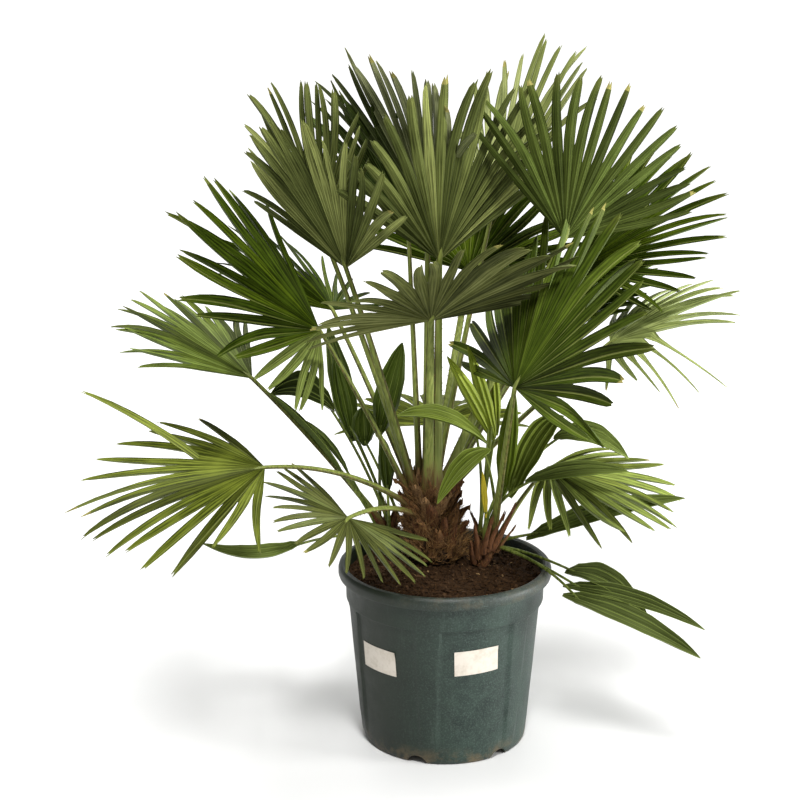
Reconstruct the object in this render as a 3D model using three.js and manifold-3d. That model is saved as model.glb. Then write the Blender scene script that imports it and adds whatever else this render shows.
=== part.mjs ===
// A European fan palm (Chamaerops humilis) about 1.25 m tall in a 30 litre nursery pot.
// Millimetres, +Z up, seen from -Y with +X to its right. Places are measured from the floor
// below the stem.
import * as THREE from 'three';
import { mergeVertices } from 'three/addons/utils/BufferGeometryUtils.js';
import Module from 'manifold-3d';

const wasm = await Module();
wasm.setup();

// Driving dimensions of the pot and its compost.
const POT_X = 3;
const POT_HEIGHT = 326;
const RIM_RADIUS = 190;
const BAND_RADIUS = 177;
const BODY_TOP_RADIUS = 170;
const FOOT_RADIUS = 143;
const FOOT_WIDTH = 8;
const BAND_BOTTOM = 262;
const RIM_DEPTH = 21;
const WALL = 3.5;
const FLOOR_TOP = 20;
const POT_SIDES = 36;
const NOTCHES = 6;
const FIRST_NOTCH = -110;
const NOTCH_RADIUS = 19;
const NOTCH_DROP = 4;
const NOTCH_SIDES = 12;
const NOTCH_LENGTH = 40;
const SOIL_EDGE = 306;
const SOIL_RISE = 8;

// Clear gap between neighbouring solids, and the same gap with room for rounding.
const GAP = 0.35;
const SAFE_GAP = 0.45;
const SOCKET_GAP = 0.6;

// The stem: its foot and head, and how it leans between them.
const STEM_FOOT = new THREE.Vector3(-10, 45, 314.6);
const STEM_HEAD = new THREE.Vector3(-32, 40, 464);
const STEM_SIDES = 20;
// Radius of the stem at fractions of its height: a bulb that overhangs the soil, then a taper.
const STEM_PROFILE = [[0, 44], [0.1, 53], [0.25, 57], [0.45, 51], [0.7, 42], [0.88, 36], [0.96, 25]];
const BOOT_ROWS = 4;
const BOOTS_IN_ROW = 6;
const BOOT_LENGTH = 34;
const BOOT_WIDTHS = [3.5, 11];
const FIRST_BOOT = 0.16;
const BOOT_SPACING = 0.17;
const BOOT_SUNK = 8;

// Side shoots, each a short sheathed stem: foot, head, foot radius, head radius.
const SHOOT_SIDES = 10;
const SHOOTS = {
  shoot_right: [[64, 20, 313.9], [88, 20, 372], 19, 10],
  shoot_left: [[-92, 116, 309.8], [-98, 114, 358], 17, 10],
};

// A fan's leaflets are joined to this fraction of their length, then run free.
const SPLIT = 0.46;
// At its shoulder a free leaflet is still this wide and this deeply folded, before its tip.
const SHOULDER = 0.8;
const SHOULDER_WIDTH = 0.8;
const SHOULDER_PLEAT = 0.8;
// Each leaflet is folded up along both margins by this share of its width.
const PLEAT = 0.25;
const BLADE_THICKNESS = 1 / 95;
const LEAST_THICKNESS = 3.2;
const HUB_THICKNESS = 1.6;
const TIP_THICKNESS = 0.6;

// Petioles: half widths at the stem and at the blade, and the flattening of the section.
const PETIOLE_FOOT = 9;
const PETIOLE_TIP = 4.5;
const PETIOLE_FLAT = 0.62;
const PETIOLE_SIDES = 5;
const PETIOLE_STEPS = 4;

// The fans. hub is where the petiole meets the blade. The blade points along azimuth and
// elevation (0 is +X, 90 is away from the viewer), rolled about that line. length is the
// middle leaflet's, edge the outer leaflets' share of it, and skew makes one side longer.
const FANS = {
  fan_01: { hub: [-25, -60, 778], azimuth: -77, elevation: 38, roll: 8, length: 310,
    spread: 176, edge: 0.8, skew: 0.05, droop: 0.02, leaflets: 18, green: 'olive' },
  fan_02: { hub: [-10, 10, 868], azimuth: -48, elevation: 77, roll: -4, length: 355,
    spread: 114, edge: 0.85, skew: 0, droop: 0.01, leaflets: 18, green: 'olive' },
  fan_03: { hub: [-168, -40, 864], azimuth: -146, elevation: 67, roll: 6, length: 285,
    spread: 122, edge: 0.92, skew: 0, droop: 0, leaflets: 18, green: 'olive' },
  fan_04: { hub: [-214, -20, 752], azimuth: -137, elevation: 25, roll: -47, length: 335,
    spread: 146, edge: 0.72, skew: -0.2, droop: 0, leaflets: 18, green: 'dark' },
  fan_05: { hub: [-337, 40, 652], azimuth: 159, elevation: 31, roll: 1, length: 275,
    spread: 112, edge: 0.88, skew: 0, droop: 0, leaflets: 18, green: 'fresh', from: 'shoot_left' },
  fan_06: { hub: [-305, -120, 538], azimuth: -166, elevation: -6, roll: -9, length: 345,
    spread: 146, edge: 0.85, skew: 0, droop: 0.02, leaflets: 18, green: 'fresh' },
  fan_07: { hub: [-165, -120, 448], azimuth: -105, elevation: -6, roll: -29, length: 155,
    spread: 233, edge: 0.9, skew: 0, droop: 0.02, leaflets: 20, green: 'fresh' },
  fan_08: { hub: [113, -140, 682], azimuth: 19, elevation: 62, roll: 3, length: 350,
    spread: 186, edge: 0.78, skew: -0.1, droop: 0.01, leaflets: 20, green: 'fresh', from: 'shoot_right' },
  fan_09: { hub: [247, 200, 818], azimuth: -11, elevation: 30, roll: 31, length: 308,
    spread: 125, edge: 0.95, skew: 0.15, droop: 0.02, leaflets: 18, green: 'dark' },
  fan_10: { hub: [202, -10, 909], azimuth: 27, elevation: 68, roll: -109, length: 296,
    spread: 120, edge: 0.87, skew: -0.08, droop: 0.01, leaflets: 18, green: 'olive' },
  fan_11: { hub: [86, 150, 924], azimuth: 66, elevation: 56, roll: -38, length: 375,
    spread: 96, edge: 0.85, skew: 0, droop: 0.01, leaflets: 16, green: 'olive' },
  fan_12: { hub: [-28, 130, 928], azimuth: -134, elevation: 66, roll: -7, length: 335,
    spread: 85, edge: 0.95, skew: 0, droop: 0.01, leaflets: 14, green: 'olive' },
  fan_13: { hub: [-211, 30, 916], azimuth: -160, elevation: 81, roll: 22, length: 285,
    spread: 105, edge: 0.82, skew: 0, droop: 0, leaflets: 16, green: 'olive' },
  fan_14: { hub: [-63, 210, 905], azimuth: -179, elevation: 57, roll: 34, length: 290,
    spread: 90, edge: 0.85, skew: 0, droop: 0, leaflets: 14, green: 'dark' },
  fan_15: { hub: [300, 120, 698], azimuth: -14, elevation: 27, roll: 12, length: 268,
    spread: 176, edge: 0.78, skew: 0.15, droop: 0.06, leaflets: 16, green: 'pale' },
  fan_16: { hub: [185, 20, 494], azimuth: -27, elevation: -14, roll: 5, length: 250,
    spread: 155, edge: 0.85, skew: 0, droop: 0.02, leaflets: 16, green: 'fresh', from: 'shoot_right' },
  fan_17: { hub: [50, 240, 805], azimuth: 78, elevation: 42, roll: 10, length: 290,
    spread: 160, edge: 0.82, skew: 0, droop: 0.03, leaflets: 18, green: 'dark' },
  fan_18: { hub: [-200, 200, 740], azimuth: 138, elevation: 35, roll: 15, length: 280,
    spread: 160, edge: 0.82, skew: 0, droop: 0.03, leaflets: 16, green: 'dark' },
  fan_19: { hub: [190, 240, 690], azimuth: 45, elevation: 28, roll: -20, length: 270,
    spread: 160, edge: 0.82, skew: 0, droop: 0.04, leaflets: 16, green: 'dark' },
  fan_20: { hub: [-10, 260, 505], azimuth: 95, elevation: 5, roll: 0, length: 230,
    spread: 170, edge: 0.85, skew: 0, droop: 0.04, leaflets: 15, green: 'fresh' },
};

// The undivided leaves of young shoots, grouped by the shoot they rise from. Each leaf has
// the foot and tip of its blade, its width, how far its middle arches up, and its tilt.
const YOUNG = {
  young_01: { from: 'shoot_right', leaves: [
    { foot: [75, 0, 547], tip: [-82, -60, 614], width: 46, arch: 22, tilt: 25 }] },
  young_02: { from: 'shoot_right', leaves: [
    { foot: [80, -12, 540], tip: [-13, -76, 462], width: 40, arch: 18, tilt: 20 }] },
  young_03: { from: 'shoot_right', leaves: [
    { foot: [103, -35, 452], tip: [120, -48, 648], width: 34, arch: 4, tilt: 0 },
    { foot: [117, -10, 445], tip: [210, 6, 590], width: 46, arch: 40, tilt: 0 }] },
  young_04: { from: 'shoot_left', leaves: [
    { foot: [-195, 90, 580], tip: [-308, 60, 616], width: 74, arch: 24, tilt: 30 }] },
  young_05: { from: 'shoot_left', leaves: [
    { foot: [-165, 95, 527], tip: [-194, 85, 676], width: 42, arch: 4, tilt: 0 },
    { foot: [-160, 112, 516], tip: [-206, 112, 731], width: 42, arch: 6, tilt: 0 }] },
  young_06: { from: 'shoot_left', leaves: [
    { foot: [-140, 60, 522], tip: [-142, 40, 600], width: 44, arch: 4, tilt: 0 }] },
  young_07: { from: 'shoot_left', leaves: [
    { foot: [-117, 115, 528], tip: [-73, 105, 706], width: 48, arch: 4, tilt: 0 }] },
  young_08: { from: 'shoot_left', leaves: [
    { foot: [-99, 66, 434], tip: [-106, 56, 537], width: 28, arch: 3, tilt: 0 }] },
  young_09: { from: 'shoot_left', leaves: [
    { foot: [-176, 66, 464], tip: [-311, 40, 631], width: 42, arch: 10, tilt: 0 },
    { foot: [-171, 84, 466], tip: [-250, 84, 564], width: 30, arch: 6, tilt: 0 }] },
  young_10: { from: 'shoot_right', leaves: [
    { foot: [207, -80, 309], tip: [449, -128, 247], width: 34, arch: 16, tilt: 35 },
    { foot: [204, -88, 303], tip: [436, -152, 213], width: 52, arch: 10, tilt: 20 },
    { foot: [213, -46, 322], tip: [361, -78, 242], width: 58, arch: 26, tilt: 20 }] },
  young_11: { from: 'shoot_right', leaves: [
    { foot: [150, 30, 356], tip: [425, -10, 447], width: 48, arch: 12, tilt: 30 }] },
  young_12: { from: 'shoot_left', leaves: [
    { foot: [-250, -30, 372], tip: [-420, -80, 388], width: 36, arch: -22, tilt: 20 }] },
  young_13: { from: 'shoot_right', leaves: [
    { foot: [141, -25, 485], tip: [317, -55, 513], width: 38, arch: 10, tilt: 30 },
    { foot: [196, 50, 540], tip: [331, 44, 503], width: 54, arch: 22, tilt: 30 }] },
  young_14: { from: 'shoot_right', leaves: [
    { foot: [88, 12, 547], tip: [4, -18, 706], width: 26, arch: 4, tilt: 0 },
    { foot: [90, 18, 552], tip: [40, 6, 720], width: 24, arch: 4, tilt: 0 },
    { foot: [94, 24, 552], tip: [80, 20, 716], width: 22, arch: 3, tilt: 0 }] },
};
const YOUNG_STALK = 3.6;
const STALK_SIDES = 3;
const STALK_STEPS = 3;
const STALK_SIDEWAYS = new THREE.Vector3(0.3, 1, 0.2).normalize();
const SHEATH_RADIUS = 5;
const SHEATH_LENGTH = 9;
const SHEATH_SIDES = 5;
const YOUNG_STATIONS = [0, 0.12, 0.35, 0.6, 0.85, 1];
const YOUNG_SWELL = [0.16, 0.62, 1, 0.94, 0.5, 0.04];
const YOUNG_THICKNESS = 0.011;
const YOUNG_LEAST_THICKNESS = 2.4;
const YOUNG_FOLD = 0.35;

// How far a young leaf may be moved in depth, and its stalk bowed aside, to stand clear.
const DEPTHS = [0, -10, 10, -20, 20, -32, 32];
const BOWS = [[0, 0, 0], [0, 14, 0], [0, -14, 0], [14, 0, 0], [-14, 0, 0],
  [0, 28, 0], [0, -28, 0], [28, 0, 0], [-28, 0, 0]];

const UP = new THREE.Vector3(0, 0, 1);
const radians = THREE.MathUtils.degToRad;
const point = (xyz) => new THREE.Vector3(...xyz);

const model = new THREE.Group();
const placed = [];

// Materials

function finish(color, roughness) {
  return new THREE.MeshStandardMaterial({ color, roughness, metalness: 0 });
}

const potPlastic = () => finish(0x3a514d, 0.55);
const compost = () => finish(0x3a2617, 0.95);
const stemFibre = () => finish(0x5a3a22, 0.95);
const petioleSkin = () => finish(0x7b8a48, 0.6);
const leafGreen = {
  olive: () => finish(0x64763f, 0.6),
  dark: () => finish(0x35501d, 0.5),
  fresh: () => finish(0x4c7128, 0.5),
  pale: () => finish(0x86a05e, 0.6),
};

// Solids

function geometryFrom(points, triangles) {
  const geometry = new THREE.BufferGeometry();
  const numbers = points.flatMap((p) => p.toArray());
  geometry.setAttribute('position', new THREE.Float32BufferAttribute(numbers, 3));
  geometry.setIndex(triangles);
  return geometry;
}

function solidFrom(geometry) {
  const bare = geometry.clone();
  bare.deleteAttribute('normal');
  bare.deleteAttribute('uv');
  const merged = mergeVertices(bare, 1e-3);
  return new wasm.Manifold(new wasm.Mesh({
    numProp: 3,
    vertProperties: new Float32Array(merged.getAttribute('position').array),
    triVerts: new Uint32Array(merged.index.array),
  }));
}

function geometryOf(solid) {
  const mesh = solid.getMesh();
  const geometry = new THREE.BufferGeometry();
  geometry.setAttribute('position', new THREE.BufferAttribute(new Float32Array(mesh.vertProperties), 3));
  geometry.setIndex(new THREE.BufferAttribute(new Uint32Array(mesh.triVerts), 1));
  return geometry;
}

function addPart(name, solid, material) {
  const geometry = geometryOf(solid);
  geometry.computeVertexNormals();
  const mesh = new THREE.Mesh(geometry, material);
  mesh.name = name;
  model.add(mesh);
  placed.push({ name, solid, box: solid.boundingBox() });
}

function boxesMeet(a, b, margin) {
  return [0, 1, 2].every((i) => a.min[i] - margin < b.max[i] && b.min[i] - margin < a.max[i]);
}

// True where the solid keeps its gap to everything already in place.
function isClear(solid, except = []) {
  const box = solid.boundingBox();
  return placed.every((other) => except.includes(other.name)
    || !boxesMeet(box, other.box, SAFE_GAP)
    || solid.minGap(other.solid, 2 * SAFE_GAP) >= SAFE_GAP);
}

// A closed limb along a curve, its rings flattened against the side vector at each point.
function limbGeometry(curve, radiusAt, sides, steps, flat, sideways) {
  const points = [];
  const triangles = [];
  for (let step = 0; step <= steps; step += 1) {
    const t = step / steps;
    const centre = curve.getPoint(t);
    const along = curve.getTangent(t);
    const across = new THREE.Vector3().crossVectors(along, sideways).normalize();
    const through = new THREE.Vector3().crossVectors(across, along).normalize();
    for (let k = 0; k < sides; k += 1) {
      const turn = (2 * Math.PI * (k + 0.5)) / sides;
      points.push(centre.clone()
        .addScaledVector(across, radiusAt(t) * Math.cos(turn))
        .addScaledVector(through, radiusAt(t) * flat * Math.sin(turn)));
    }
  }
  for (let step = 0; step < steps; step += 1) {
    for (let k = 0; k < sides; k += 1) {
      const a = step * sides + k;
      const b = step * sides + ((k + 1) % sides);
      triangles.push(a, a + sides, b, b, a + sides, b + sides);
    }
  }
  for (let k = 1; k < sides - 1; k += 1) {
    const last = steps * sides;
    triangles.push(0, k, k + 1);
    triangles.push(last, last + k + 1, last + k);
  }
  return geometryFrom(points, triangles);
}

// Limbs turned inside out by the way their rings run are put right here.
function limbSolid(...shape) {
  const solid = solidFrom(limbGeometry(...shape));
  if (solid.volume() > 0) return solid;
  const geometry = limbGeometry(...shape);
  const index = geometry.index.array;
  for (let i = 0; i < index.length; i += 3) {
    [index[i + 1], index[i + 2]] = [index[i + 2], index[i + 1]];
  }
  return solidFrom(geometry);
}

// Pot and compost

function potSolid() {
  const bandTop = POT_HEIGHT - RIM_DEPTH;
  const outline = [
    [0, FLOOR_TOP - 4], [FOOT_RADIUS - FOOT_WIDTH - 3, FLOOR_TOP - 4], [FOOT_RADIUS - FOOT_WIDTH, 0],
    [FOOT_RADIUS, 0], [FOOT_RADIUS + 4, 6], [FOOT_RADIUS + 6, 16],
    [BODY_TOP_RADIUS, BAND_BOTTOM - 2], [BAND_RADIUS - 1, BAND_BOTTOM], [BAND_RADIUS, bandTop],
    [RIM_RADIUS - 3, bandTop - 2], [RIM_RADIUS, bandTop + 4], [RIM_RADIUS, POT_HEIGHT - 8],
    [RIM_RADIUS - 4, POT_HEIGHT - 1], [RIM_RADIUS - 11, POT_HEIGHT], [RIM_RADIUS - 16, POT_HEIGHT - 4],
    [BAND_RADIUS - WALL, bandTop], [BODY_TOP_RADIUS - WALL, BAND_BOTTOM],
    [FOOT_RADIUS + 6 - WALL, FLOOR_TOP], [0, FLOOR_TOP],
  ].map(([radius, z]) => new THREE.Vector2(radius, z));
  const pot = solidFrom(new THREE.LatheGeometry(outline, POT_SIDES).rotateX(Math.PI / 2));
  let cutters = null;
  for (let k = 0; k < NOTCHES; k += 1) {
    const turn = radians(FIRST_NOTCH + (360 / NOTCHES) * k);
    const arch = new THREE.CylinderGeometry(NOTCH_RADIUS, NOTCH_RADIUS, NOTCH_LENGTH, NOTCH_SIDES)
      .rotateZ(Math.PI / 2)
      .translate(FOOT_RADIUS, 0, -NOTCH_DROP)
      .rotateZ(turn);
    cutters = cutters ? cutters.add(solidFrom(arch)) : solidFrom(arch);
  }
  return pot.subtract(cutters).translate(POT_X, 0, 0);
}

function soilHeight(x, y) {
  const share = Math.hypot(x, y) / BODY_TOP_RADIUS;
  return SOIL_EDGE + SOIL_RISE * (1 - share * share);
}

function soilSolid() {
  const wallAt = (z) => THREE.MathUtils.mapLinear(z, FLOOR_TOP, BAND_BOTTOM,
    FOOT_RADIUS + 6 - WALL, BODY_TOP_RADIUS - WALL) - GAP;
  const bandAt = THREE.MathUtils.mapLinear(SOIL_EDGE, BAND_BOTTOM, POT_HEIGHT - RIM_DEPTH,
    BODY_TOP_RADIUS - WALL, BAND_RADIUS - WALL) - 2 * GAP;
  const outline = [[0, FLOOR_TOP + GAP], [wallAt(FLOOR_TOP), FLOOR_TOP + GAP],
    [wallAt(BAND_BOTTOM), BAND_BOTTOM], [bandAt, SOIL_EDGE]];
  for (const radius of [110, 60, 0]) {
    outline.push([radius, soilHeight(radius, 0)]);
  }
  const points = outline.map(([radius, z]) => new THREE.Vector2(radius, z));
  const heap = new THREE.LatheGeometry(points, POT_SIDES).rotateX(Math.PI / 2);
  return solidFrom(heap.translate(POT_X, 0, 0));
}

// Stem and shoots

function leaning(geometry, foot, head) {
  const rise = head.z - foot.z;
  const positions = geometry.getAttribute('position');
  for (let i = 0; i < positions.count; i += 1) {
    const share = positions.getZ(i) / rise;
    positions.setXYZ(i, positions.getX(i) + foot.x + (head.x - foot.x) * share,
      positions.getY(i) + foot.y + (head.y - foot.y) * share, positions.getZ(i) + foot.z);
  }
  return geometry;
}

function stemCore(grow) {
  const rise = STEM_HEAD.z - STEM_FOOT.z;
  const outline = [[0, 0], ...STEM_PROFILE.map(([share, radius]) => [radius + grow, share * (rise + grow)]),
    [0, rise + grow]];
  const points = outline.map(([radius, z]) => new THREE.Vector2(radius, z));
  const turned = new THREE.LatheGeometry(points, STEM_SIDES).rotateX(Math.PI / 2);
  return solidFrom(leaning(turned, STEM_FOOT, STEM_HEAD));
}

function stemRadius(share) {
  const above = STEM_PROFILE.findIndex(([at]) => at >= share);
  if (above <= 0) return STEM_PROFILE[Math.max(above, 0)][1];
  const [lowAt, low] = STEM_PROFILE[above - 1];
  const [highAt, high] = STEM_PROFILE[above];
  return THREE.MathUtils.mapLinear(share, lowAt, highAt, low, high);
}

function onStem(share, azimuth, radius) {
  return STEM_FOOT.clone().lerp(STEM_HEAD, share)
    .add(new THREE.Vector3(Math.cos(azimuth), Math.sin(azimuth), 0).multiplyScalar(radius));
}

// Dead leaf bases: short pointed stubs that stand off the stem in staggered rows.
function bootSolid(row, place) {
  const share = FIRST_BOOT + BOOT_SPACING * row;
  const azimuth = (2 * Math.PI * (place + 0.5 * (row % 2))) / BOOTS_IN_ROW;
  const outward = new THREE.Vector3(Math.cos(azimuth), Math.sin(azimuth), 0.9).normalize();
  const cone = new THREE.CylinderGeometry(...BOOT_WIDTHS, BOOT_LENGTH, 4);
  const turn = new THREE.Quaternion().setFromUnitVectors(new THREE.Vector3(0, 1, 0), outward);
  const centre = onStem(share, azimuth, stemRadius(share) - BOOT_SUNK)
    .addScaledVector(outward, BOOT_LENGTH * 0.3);
  return solidFrom(cone.applyQuaternion(turn).translate(...centre));
}

function stemSolid() {
  let stem = stemCore(0);
  for (let row = 0; row < BOOT_ROWS; row += 1) {
    for (let place = 0; place < BOOTS_IN_ROW; place += 1) {
      const boot = bootSolid(row, place);
      if (isClear(boot, ['stem'])) stem = stem.add(boot);
    }
  }
  return stem;
}

function shootSolid([foot, head, footRadius, headRadius], grow) {
  const rise = head[2] - foot[2];
  const outline = [[0, 0], [footRadius + grow, 0], [footRadius * 1.05 + grow, rise * 0.25],
    [footRadius * 0.8 + grow, rise * 0.6], [headRadius + grow, rise + grow], [0, rise + 4 + grow]];
  const points = outline.map(([radius, z]) => new THREE.Vector2(radius, z));
  const turned = new THREE.LatheGeometry(points, SHOOT_SIDES).rotateX(Math.PI / 2);
  return solidFrom(leaning(turned, point(foot), point(head)));
}

// Fans

// The blade's own axes: middle runs out along the middle leaflet, across lies in the blade,
// and upper stands off its upper face.
function fanAxes(fan) {
  const azimuth = radians(fan.azimuth);
  const elevation = radians(fan.elevation);
  const middle = new THREE.Vector3(Math.cos(elevation) * Math.cos(azimuth),
    Math.cos(elevation) * Math.sin(azimuth), Math.sin(elevation));
  const level = new THREE.Vector3(-Math.sin(azimuth), Math.cos(azimuth), 0);
  const across = level.applyAxisAngle(middle, radians(fan.roll));
  const upper = new THREE.Vector3().crossVectors(middle, across);
  return { hub: point(fan.hub), middle, across, upper };
}

function leafletLength(fan, angle) {
  const share = angle / (fan.spread / 2);
  return fan.length * (1 - (1 - fan.edge) * share * share) * (1 + fan.skew * share);
}

// A point of the blade at a radius and angle, lifted off its plane. Free leaflets may be
// turned aside: bend lifts the tip by that share of the leaflet's length.
function onBlade(fan, axes, angle, radius, lift, bend, reach) {
  const turn = radians(angle);
  const free = Math.max(0, (radius - SPLIT * reach) / (reach * (1 - SPLIT)));
  return axes.hub.clone()
    .addScaledVector(axes.middle, radius * Math.cos(turn))
    .addScaledVector(axes.across, radius * Math.sin(turn))
    .addScaledVector(axes.upper, lift + bend * reach * free * free)
    .addScaledVector(UP, -fan.droop * radius * radius / reach);
}

// Leaflets first to last of a fan as one pleated sheet of even thickness. Each leaflet's
// state says how much of it is there and how far it is turned aside.
function bladeSolid(fan, states, first, last) {
  const axes = fanAxes(fan);
  const step = fan.spread / (fan.leaflets - 1);
  const half = step / 2;
  const thick = Math.max(LEAST_THICKNESS, fan.length * BLADE_THICKNESS) / 2;
  const upperFace = [];
  const lowerFace = [];
  const outline = [];
  const faces = [];

  const addPoint = (angle, radius, lift, bend, reach, extra = 1) => {
    upperFace.push(onBlade(fan, axes, angle, radius, lift + thick * extra, bend, reach));
    lowerFace.push(onBlade(fan, axes, angle, radius, lift - thick * extra, bend, reach));
    return upperFace.length - 1;
  };
  const angleOf = (k) => -fan.spread / 2 + k * step;
  const reachOf = (k) => leafletLength(fan, angleOf(k)) * states[k].size;
  const webOf = (k) => SPLIT * leafletLength(fan, angleOf(k)) * states[k].web;

  const hub = addPoint(0, 0, 0, 0, fan.length, HUB_THICKNESS);
  outline.push(hub);
  let shared = null;
  for (let k = first; k <= last; k += 1) {
    const angle = angleOf(k);
    const web = webOf(k);
    const reach = reachOf(k);
    const bend = states[k].bend;
    const widthHere = (radius) => radius * Math.tan(radians(half));
    const lift = PLEAT * widthHere(web);
    const start = k === first ? web : Math.min(web, webOf(k - 1));
    const end = k === last ? web : Math.min(web, webOf(k + 1));

    const right = shared ?? addPoint(angle - half, start, lift, 0, reach);
    if (shared === null) outline.push(right);
    const rib = addPoint(angle, web, -lift, 0, reach);
    faces.push([hub, right, rib]);
    let rightEdge = right;
    if (web > start + 1) {
      rightEdge = addPoint(angle - half, web, lift, 0, reach);
      outline.push(rightEdge);
      faces.push([right, rightEdge, rib]);
    }
    let leftEdge = null;
    const closeWeb = () => {
      const left = addPoint(angle + half, end, lift, 0, reach);
      if (web > end + 1) {
        leftEdge = addPoint(angle + half, web, lift, 0, reach);
        faces.push([rib, leftEdge, left]);
      } else {
        leftEdge = left;
      }
      faces.push([hub, rib, left]);
      return left;
    };
    if (states[k].free) {
      const shoulder = web + (reach - web) * ((SHOULDER - SPLIT) / (1 - SPLIT));
      const narrow = THREE.MathUtils.radToDeg(Math.atan(SHOULDER_WIDTH * widthHere(web) / shoulder));
      const low = addPoint(angle - narrow, shoulder, lift * SHOULDER_PLEAT, bend, reach);
      const midway = addPoint(angle, shoulder, -lift * SHOULDER_PLEAT, bend, reach);
      const tip = addPoint(angle, reach, 0, bend, reach, TIP_THICKNESS);
      const high = addPoint(angle + narrow, shoulder, lift * SHOULDER_PLEAT, bend, reach);
      outline.push(low, tip, high);
      const left = closeWeb();
      if (leftEdge !== left) outline.push(leftEdge);
      outline.push(left);
      faces.push([rib, rightEdge, low], [rib, low, midway], [midway, low, tip]);
      faces.push([midway, tip, high], [rib, midway, high], [rib, high, leftEdge]);
      shared = left;
    } else {
      outline.push(rib);
      const left = closeWeb();
      if (leftEdge !== left) outline.push(leftEdge);
      outline.push(left);
      shared = left;
    }
  }

  const count = upperFace.length;
  const triangles = [];
  for (const [a, b, c] of faces) {
    triangles.push(a, b, c);
    triangles.push(count + a, count + c, count + b);
  }
  for (let i = 0; i < outline.length; i += 1) {
    const a = outline[i];
    const b = outline[(i + 1) % outline.length];
    triangles.push(count + a, count + b, b, count + a, b, a);
  }
  return solidFrom(geometryFrom([...upperFace, ...lowerFace], triangles));
}

// What is tried for a leaflet, in order: whole, turned aside, shortened, and its web alone.
const STATES = [];
for (const size of [1, 0.8, 0.62]) {
  for (const bend of [0, 0.06, -0.06, 0.13, -0.13, 0.2, -0.2]) {
    STATES.push({ web: 1, size, bend, free: true });
  }
}
for (const web of [1, 0.6, 0.35, 0.15]) {
  STATES.push({ web, size: 1, bend: 0, free: false });
}

function fanStates(fan) {
  const whole = Array.from({ length: fan.leaflets }, () => STATES[0]);
  for (let k = 0; k < fan.leaflets; k += 1) {
    const fits = STATES.find((state) => {
      whole[k] = state;
      return isClear(bladeSolid(fan, whole, k, k));
    });
    whole[k] = fits ?? STATES[STATES.length - 1];
  }
  return whole;
}

// Petioles

// Where a petiole can start: on the stem's head at some height and azimuth, or on a shoot.
function petioleFeet(fan) {
  const hub = point(fan.hub);
  const feet = [];
  if (fan.from) {
    const [, head, , radius] = SHOOTS[fan.from];
    for (const turn of [0, 40, -40, 80, -80, 120, -120, 160]) {
      for (const drop of [6, 18, 30]) {
        const azimuth = Math.atan2(hub.y - head[1], hub.x - head[0]) + radians(turn);
        feet.push(new THREE.Vector3(head[0] + radius * 0.6 * Math.cos(azimuth),
          head[1] + radius * 0.6 * Math.sin(azimuth), head[2] - drop));
      }
    }
    return feet;
  }
  const steep = Math.atan2(hub.z - STEM_HEAD.z, Math.hypot(hub.x - STEM_HEAD.x, hub.y - STEM_HEAD.y));
  const best = THREE.MathUtils.clamp(0.62 + 0.3 * Math.sin(steep), 0.62, 0.92);
  for (const turn of [0, 20, -20, 40, -40, 65, -65, 90, -90, 120, -120, 150, -150, 180]) {
    for (const shift of [0, -0.08, 0.05, -0.16]) {
      const share = Math.min(best + shift, 0.94);
      const azimuth = Math.atan2(hub.y - STEM_HEAD.y, hub.x - STEM_HEAD.x) + radians(turn);
      feet.push(onStem(share, azimuth, stemRadius(share) * 0.72));
    }
  }
  return feet;
}

function petioleSolid(fan, foot, stop) {
  const { hub, across } = fanAxes(fan);
  const span = hub.distanceTo(foot);
  const bow = fan.hub[2] < STEM_HEAD.z + 120 ? 0.16 : 0.05;
  const bend = foot.clone().lerp(hub, 0.45).addScaledVector(UP, bow * span);
  const whole = new THREE.QuadraticBezierCurve3(foot, bend, hub);
  const end = whole.getPoint(1 - stop / span);
  const curve = new THREE.QuadraticBezierCurve3(foot, foot.clone().lerp(bend, 1 - stop / span), end);
  const thin = fan.length < 200 ? 0.7 : 1;
  const taper = (t) => Math.min(1, t * 1.25) ** 0.7;
  const radiusAt = (t) => thin * THREE.MathUtils.lerp(PETIOLE_FOOT, PETIOLE_TIP, taper(t));
  const sideways = new THREE.Vector3().crossVectors(across, curve.getTangent(1));
  return limbSolid(curve, radiusAt, PETIOLE_SIDES, PETIOLE_STEPS, PETIOLE_FLAT, sideways);
}

function placePetiole(name, fan, socket) {
  const whole = Array.from({ length: fan.leaflets }, () => STATES[0]);
  const blade = bladeSolid(fan, whole, 0, fan.leaflets - 1);
  for (const foot of petioleFeet(fan)) {
    let stop = 3;
    let petiole = petioleSolid(fan, foot, stop);
    while (petiole.minGap(blade, 2 * SAFE_GAP) < SAFE_GAP && stop < 40) {
      stop += 1.5;
      petiole = petioleSolid(fan, foot, stop);
    }
    const trimmed = petiole.subtract(socket);
    const pieces = trimmed.decompose();
    const longest = pieces.reduce((a, b) => (a.volume() > b.volume() ? a : b));
    if (isClear(longest)) {
      addPart(name, longest, petioleSkin());
      return;
    }
  }
  throw new Error(`no clear place for ${name}`);
}

// Young leaves

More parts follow.
